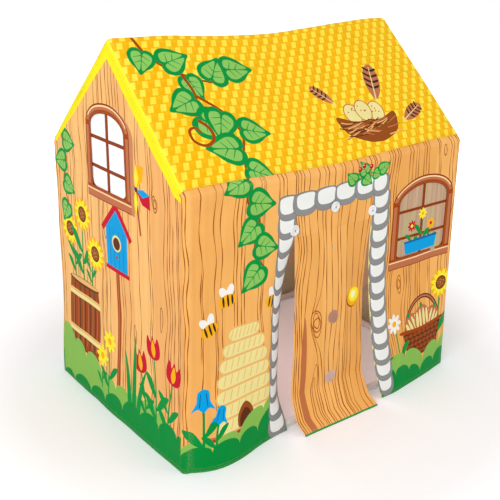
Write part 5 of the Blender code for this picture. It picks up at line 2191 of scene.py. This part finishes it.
@dataclass(frozen=True)
class Lamp:
    """A soft lamp: its place, its side or radius in metres, its power in watts and its colour."""

    name: str
    kind: str
    place: tuple[float, float, float]
    size: float
    power: float
    colour: tuple[float, float, float] = (1.0, 1.0, 1.0)

    def hang(self, target: Vector) -> None:
        """Hang the lamp so that it faces a point.

        Args:
            target: The point.
        """
        lamp = bpy.data.lights.new(self.name, self.kind)
        setattr(lamp, "size" if self.kind == "AREA" else "shadow_soft_size", self.size)
        lamp.energy = self.power
        lamp.color = self.colour
        holder = link(self.name, lamp)
        holder.visible_camera = False
        holder.location = self.place
        holder.rotation_euler = (target - holder.location).to_track_quat("-Z", "Y").to_euler()


@dataclass
class Studio:
    """The plain floor, the soft lamps and the camera at the photograph's angle."""

    centre_y: float
    azimuth: float = -38.086
    elevation: float = 19.299
    distance: float = 2.5967
    target: tuple[float, float] = (-0.0321, 0.5089)
    roll: float = 0.81
    focal: float = 853.41
    frame: float = 500.0
    axis_up: float = 30.0
    sensor: float = 36.0
    floor_half: float = 9.0
    lamp_aim: float = 0.45
    ambient: float = 0.7

    def build(self) -> None:
        """Set the stage."""
        self.add_camera()
        self.add_floor()
        self.add_world()
        for lamp in (Lamp("key_lamp", "AREA", (-3.0, -1.8, 2.6), 2.2, 66),
                     Lamp("fill_lamp", "AREA", (2.2, -3.0, 1.6), 2.2, 17),
                     Lamp("inside_glow", "POINT", (-0.05, self.centre_y + 0.06, 0.42), 0.12, 2.6, (1.0, 0.68, 0.74))):
            lamp.hang(Vector((0, self.centre_y, self.lamp_aim)))
        bpy.context.scene.view_settings.view_transform = "Standard"

    def add_camera(self) -> None:
        """Add the camera, solved from the corners that the photograph shows."""
        azimuth, elevation = math.radians(self.azimuth), math.radians(self.elevation)
        back = Vector((math.sin(azimuth) * math.cos(elevation), -math.cos(azimuth) * math.cos(elevation),
                       math.sin(elevation)))
        right = (-back).cross(Vector((0, 0, 1))).normalized()
        turn = Matrix((right, right.cross(-back), back)).transposed().to_4x4()
        place = Vector((self.target[0], self.centre_y, self.target[1])) + back * self.distance
        camera = link("camera", bpy.data.cameras.new("camera"))
        roll = Matrix.Rotation(math.radians(self.roll), 4, "Z")
        camera.matrix_world = Matrix.Translation(place) @ turn @ roll
        camera.data.sensor_width = self.sensor
        camera.data.lens = self.focal * self.sensor / self.frame
        camera.data.shift_y = -self.axis_up / self.frame
        bpy.context.scene.camera = camera

    def add_floor(self) -> None:
        """Add a wide white floor that keeps the tent's shadow."""
        half = self.floor_half
        mesh = bpy.data.meshes.new("floor")
        mesh.from_pydata([(*corner, 0) for corner in box_outline(-half, -half, half, half)], [], [(0, 1, 2, 3)])
        material, graph = new_material("floor")
        away = graph.node("ShaderNodeVectorMath", {0: graph.node("ShaderNodeTexCoord").outputs["Object"]},
                          operation="LENGTH").outputs[1]
        glow = graph.math("MULTIPLY", graph.seen(), graph.span(away, 0.16, 1.0, 0.75, 2.0))
        graph.surface(Base_Color=linear(238, 238, 240), Roughness=0.9, Specular_IOR_Level=0.1,
                      Emission_Color=(1, 1, 1, 1), Emission_Strength=glow)
        mesh.materials.append(material)
        link("floor", mesh)

    def add_world(self) -> None:
        """Add a white surround that lights the tent softly."""
        world = bpy.data.worlds.new("studio")
        world.use_nodes = True
        graph = Graph(world.node_tree)
        background = world.node_tree.nodes["Background"].inputs
        background["Color"].default_value = (1, 1, 1, 1)
        graph.feed(background["Strength"], graph.span(graph.seen(), self.ambient, 1.0))
        bpy.context.scene.world = world


def main() -> None:
    """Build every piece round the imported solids."""
    logging.basicConfig(level=logging.INFO, format="%(name)s: %(message)s")
    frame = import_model()
    hang = Hang.from_frame(frame["joints"])
    Studio(hang.centre_y).build()
    TubeFrame().build(frame["nodes"])
    Cover(hang).build()


if __name__ == "__main__":
    main()
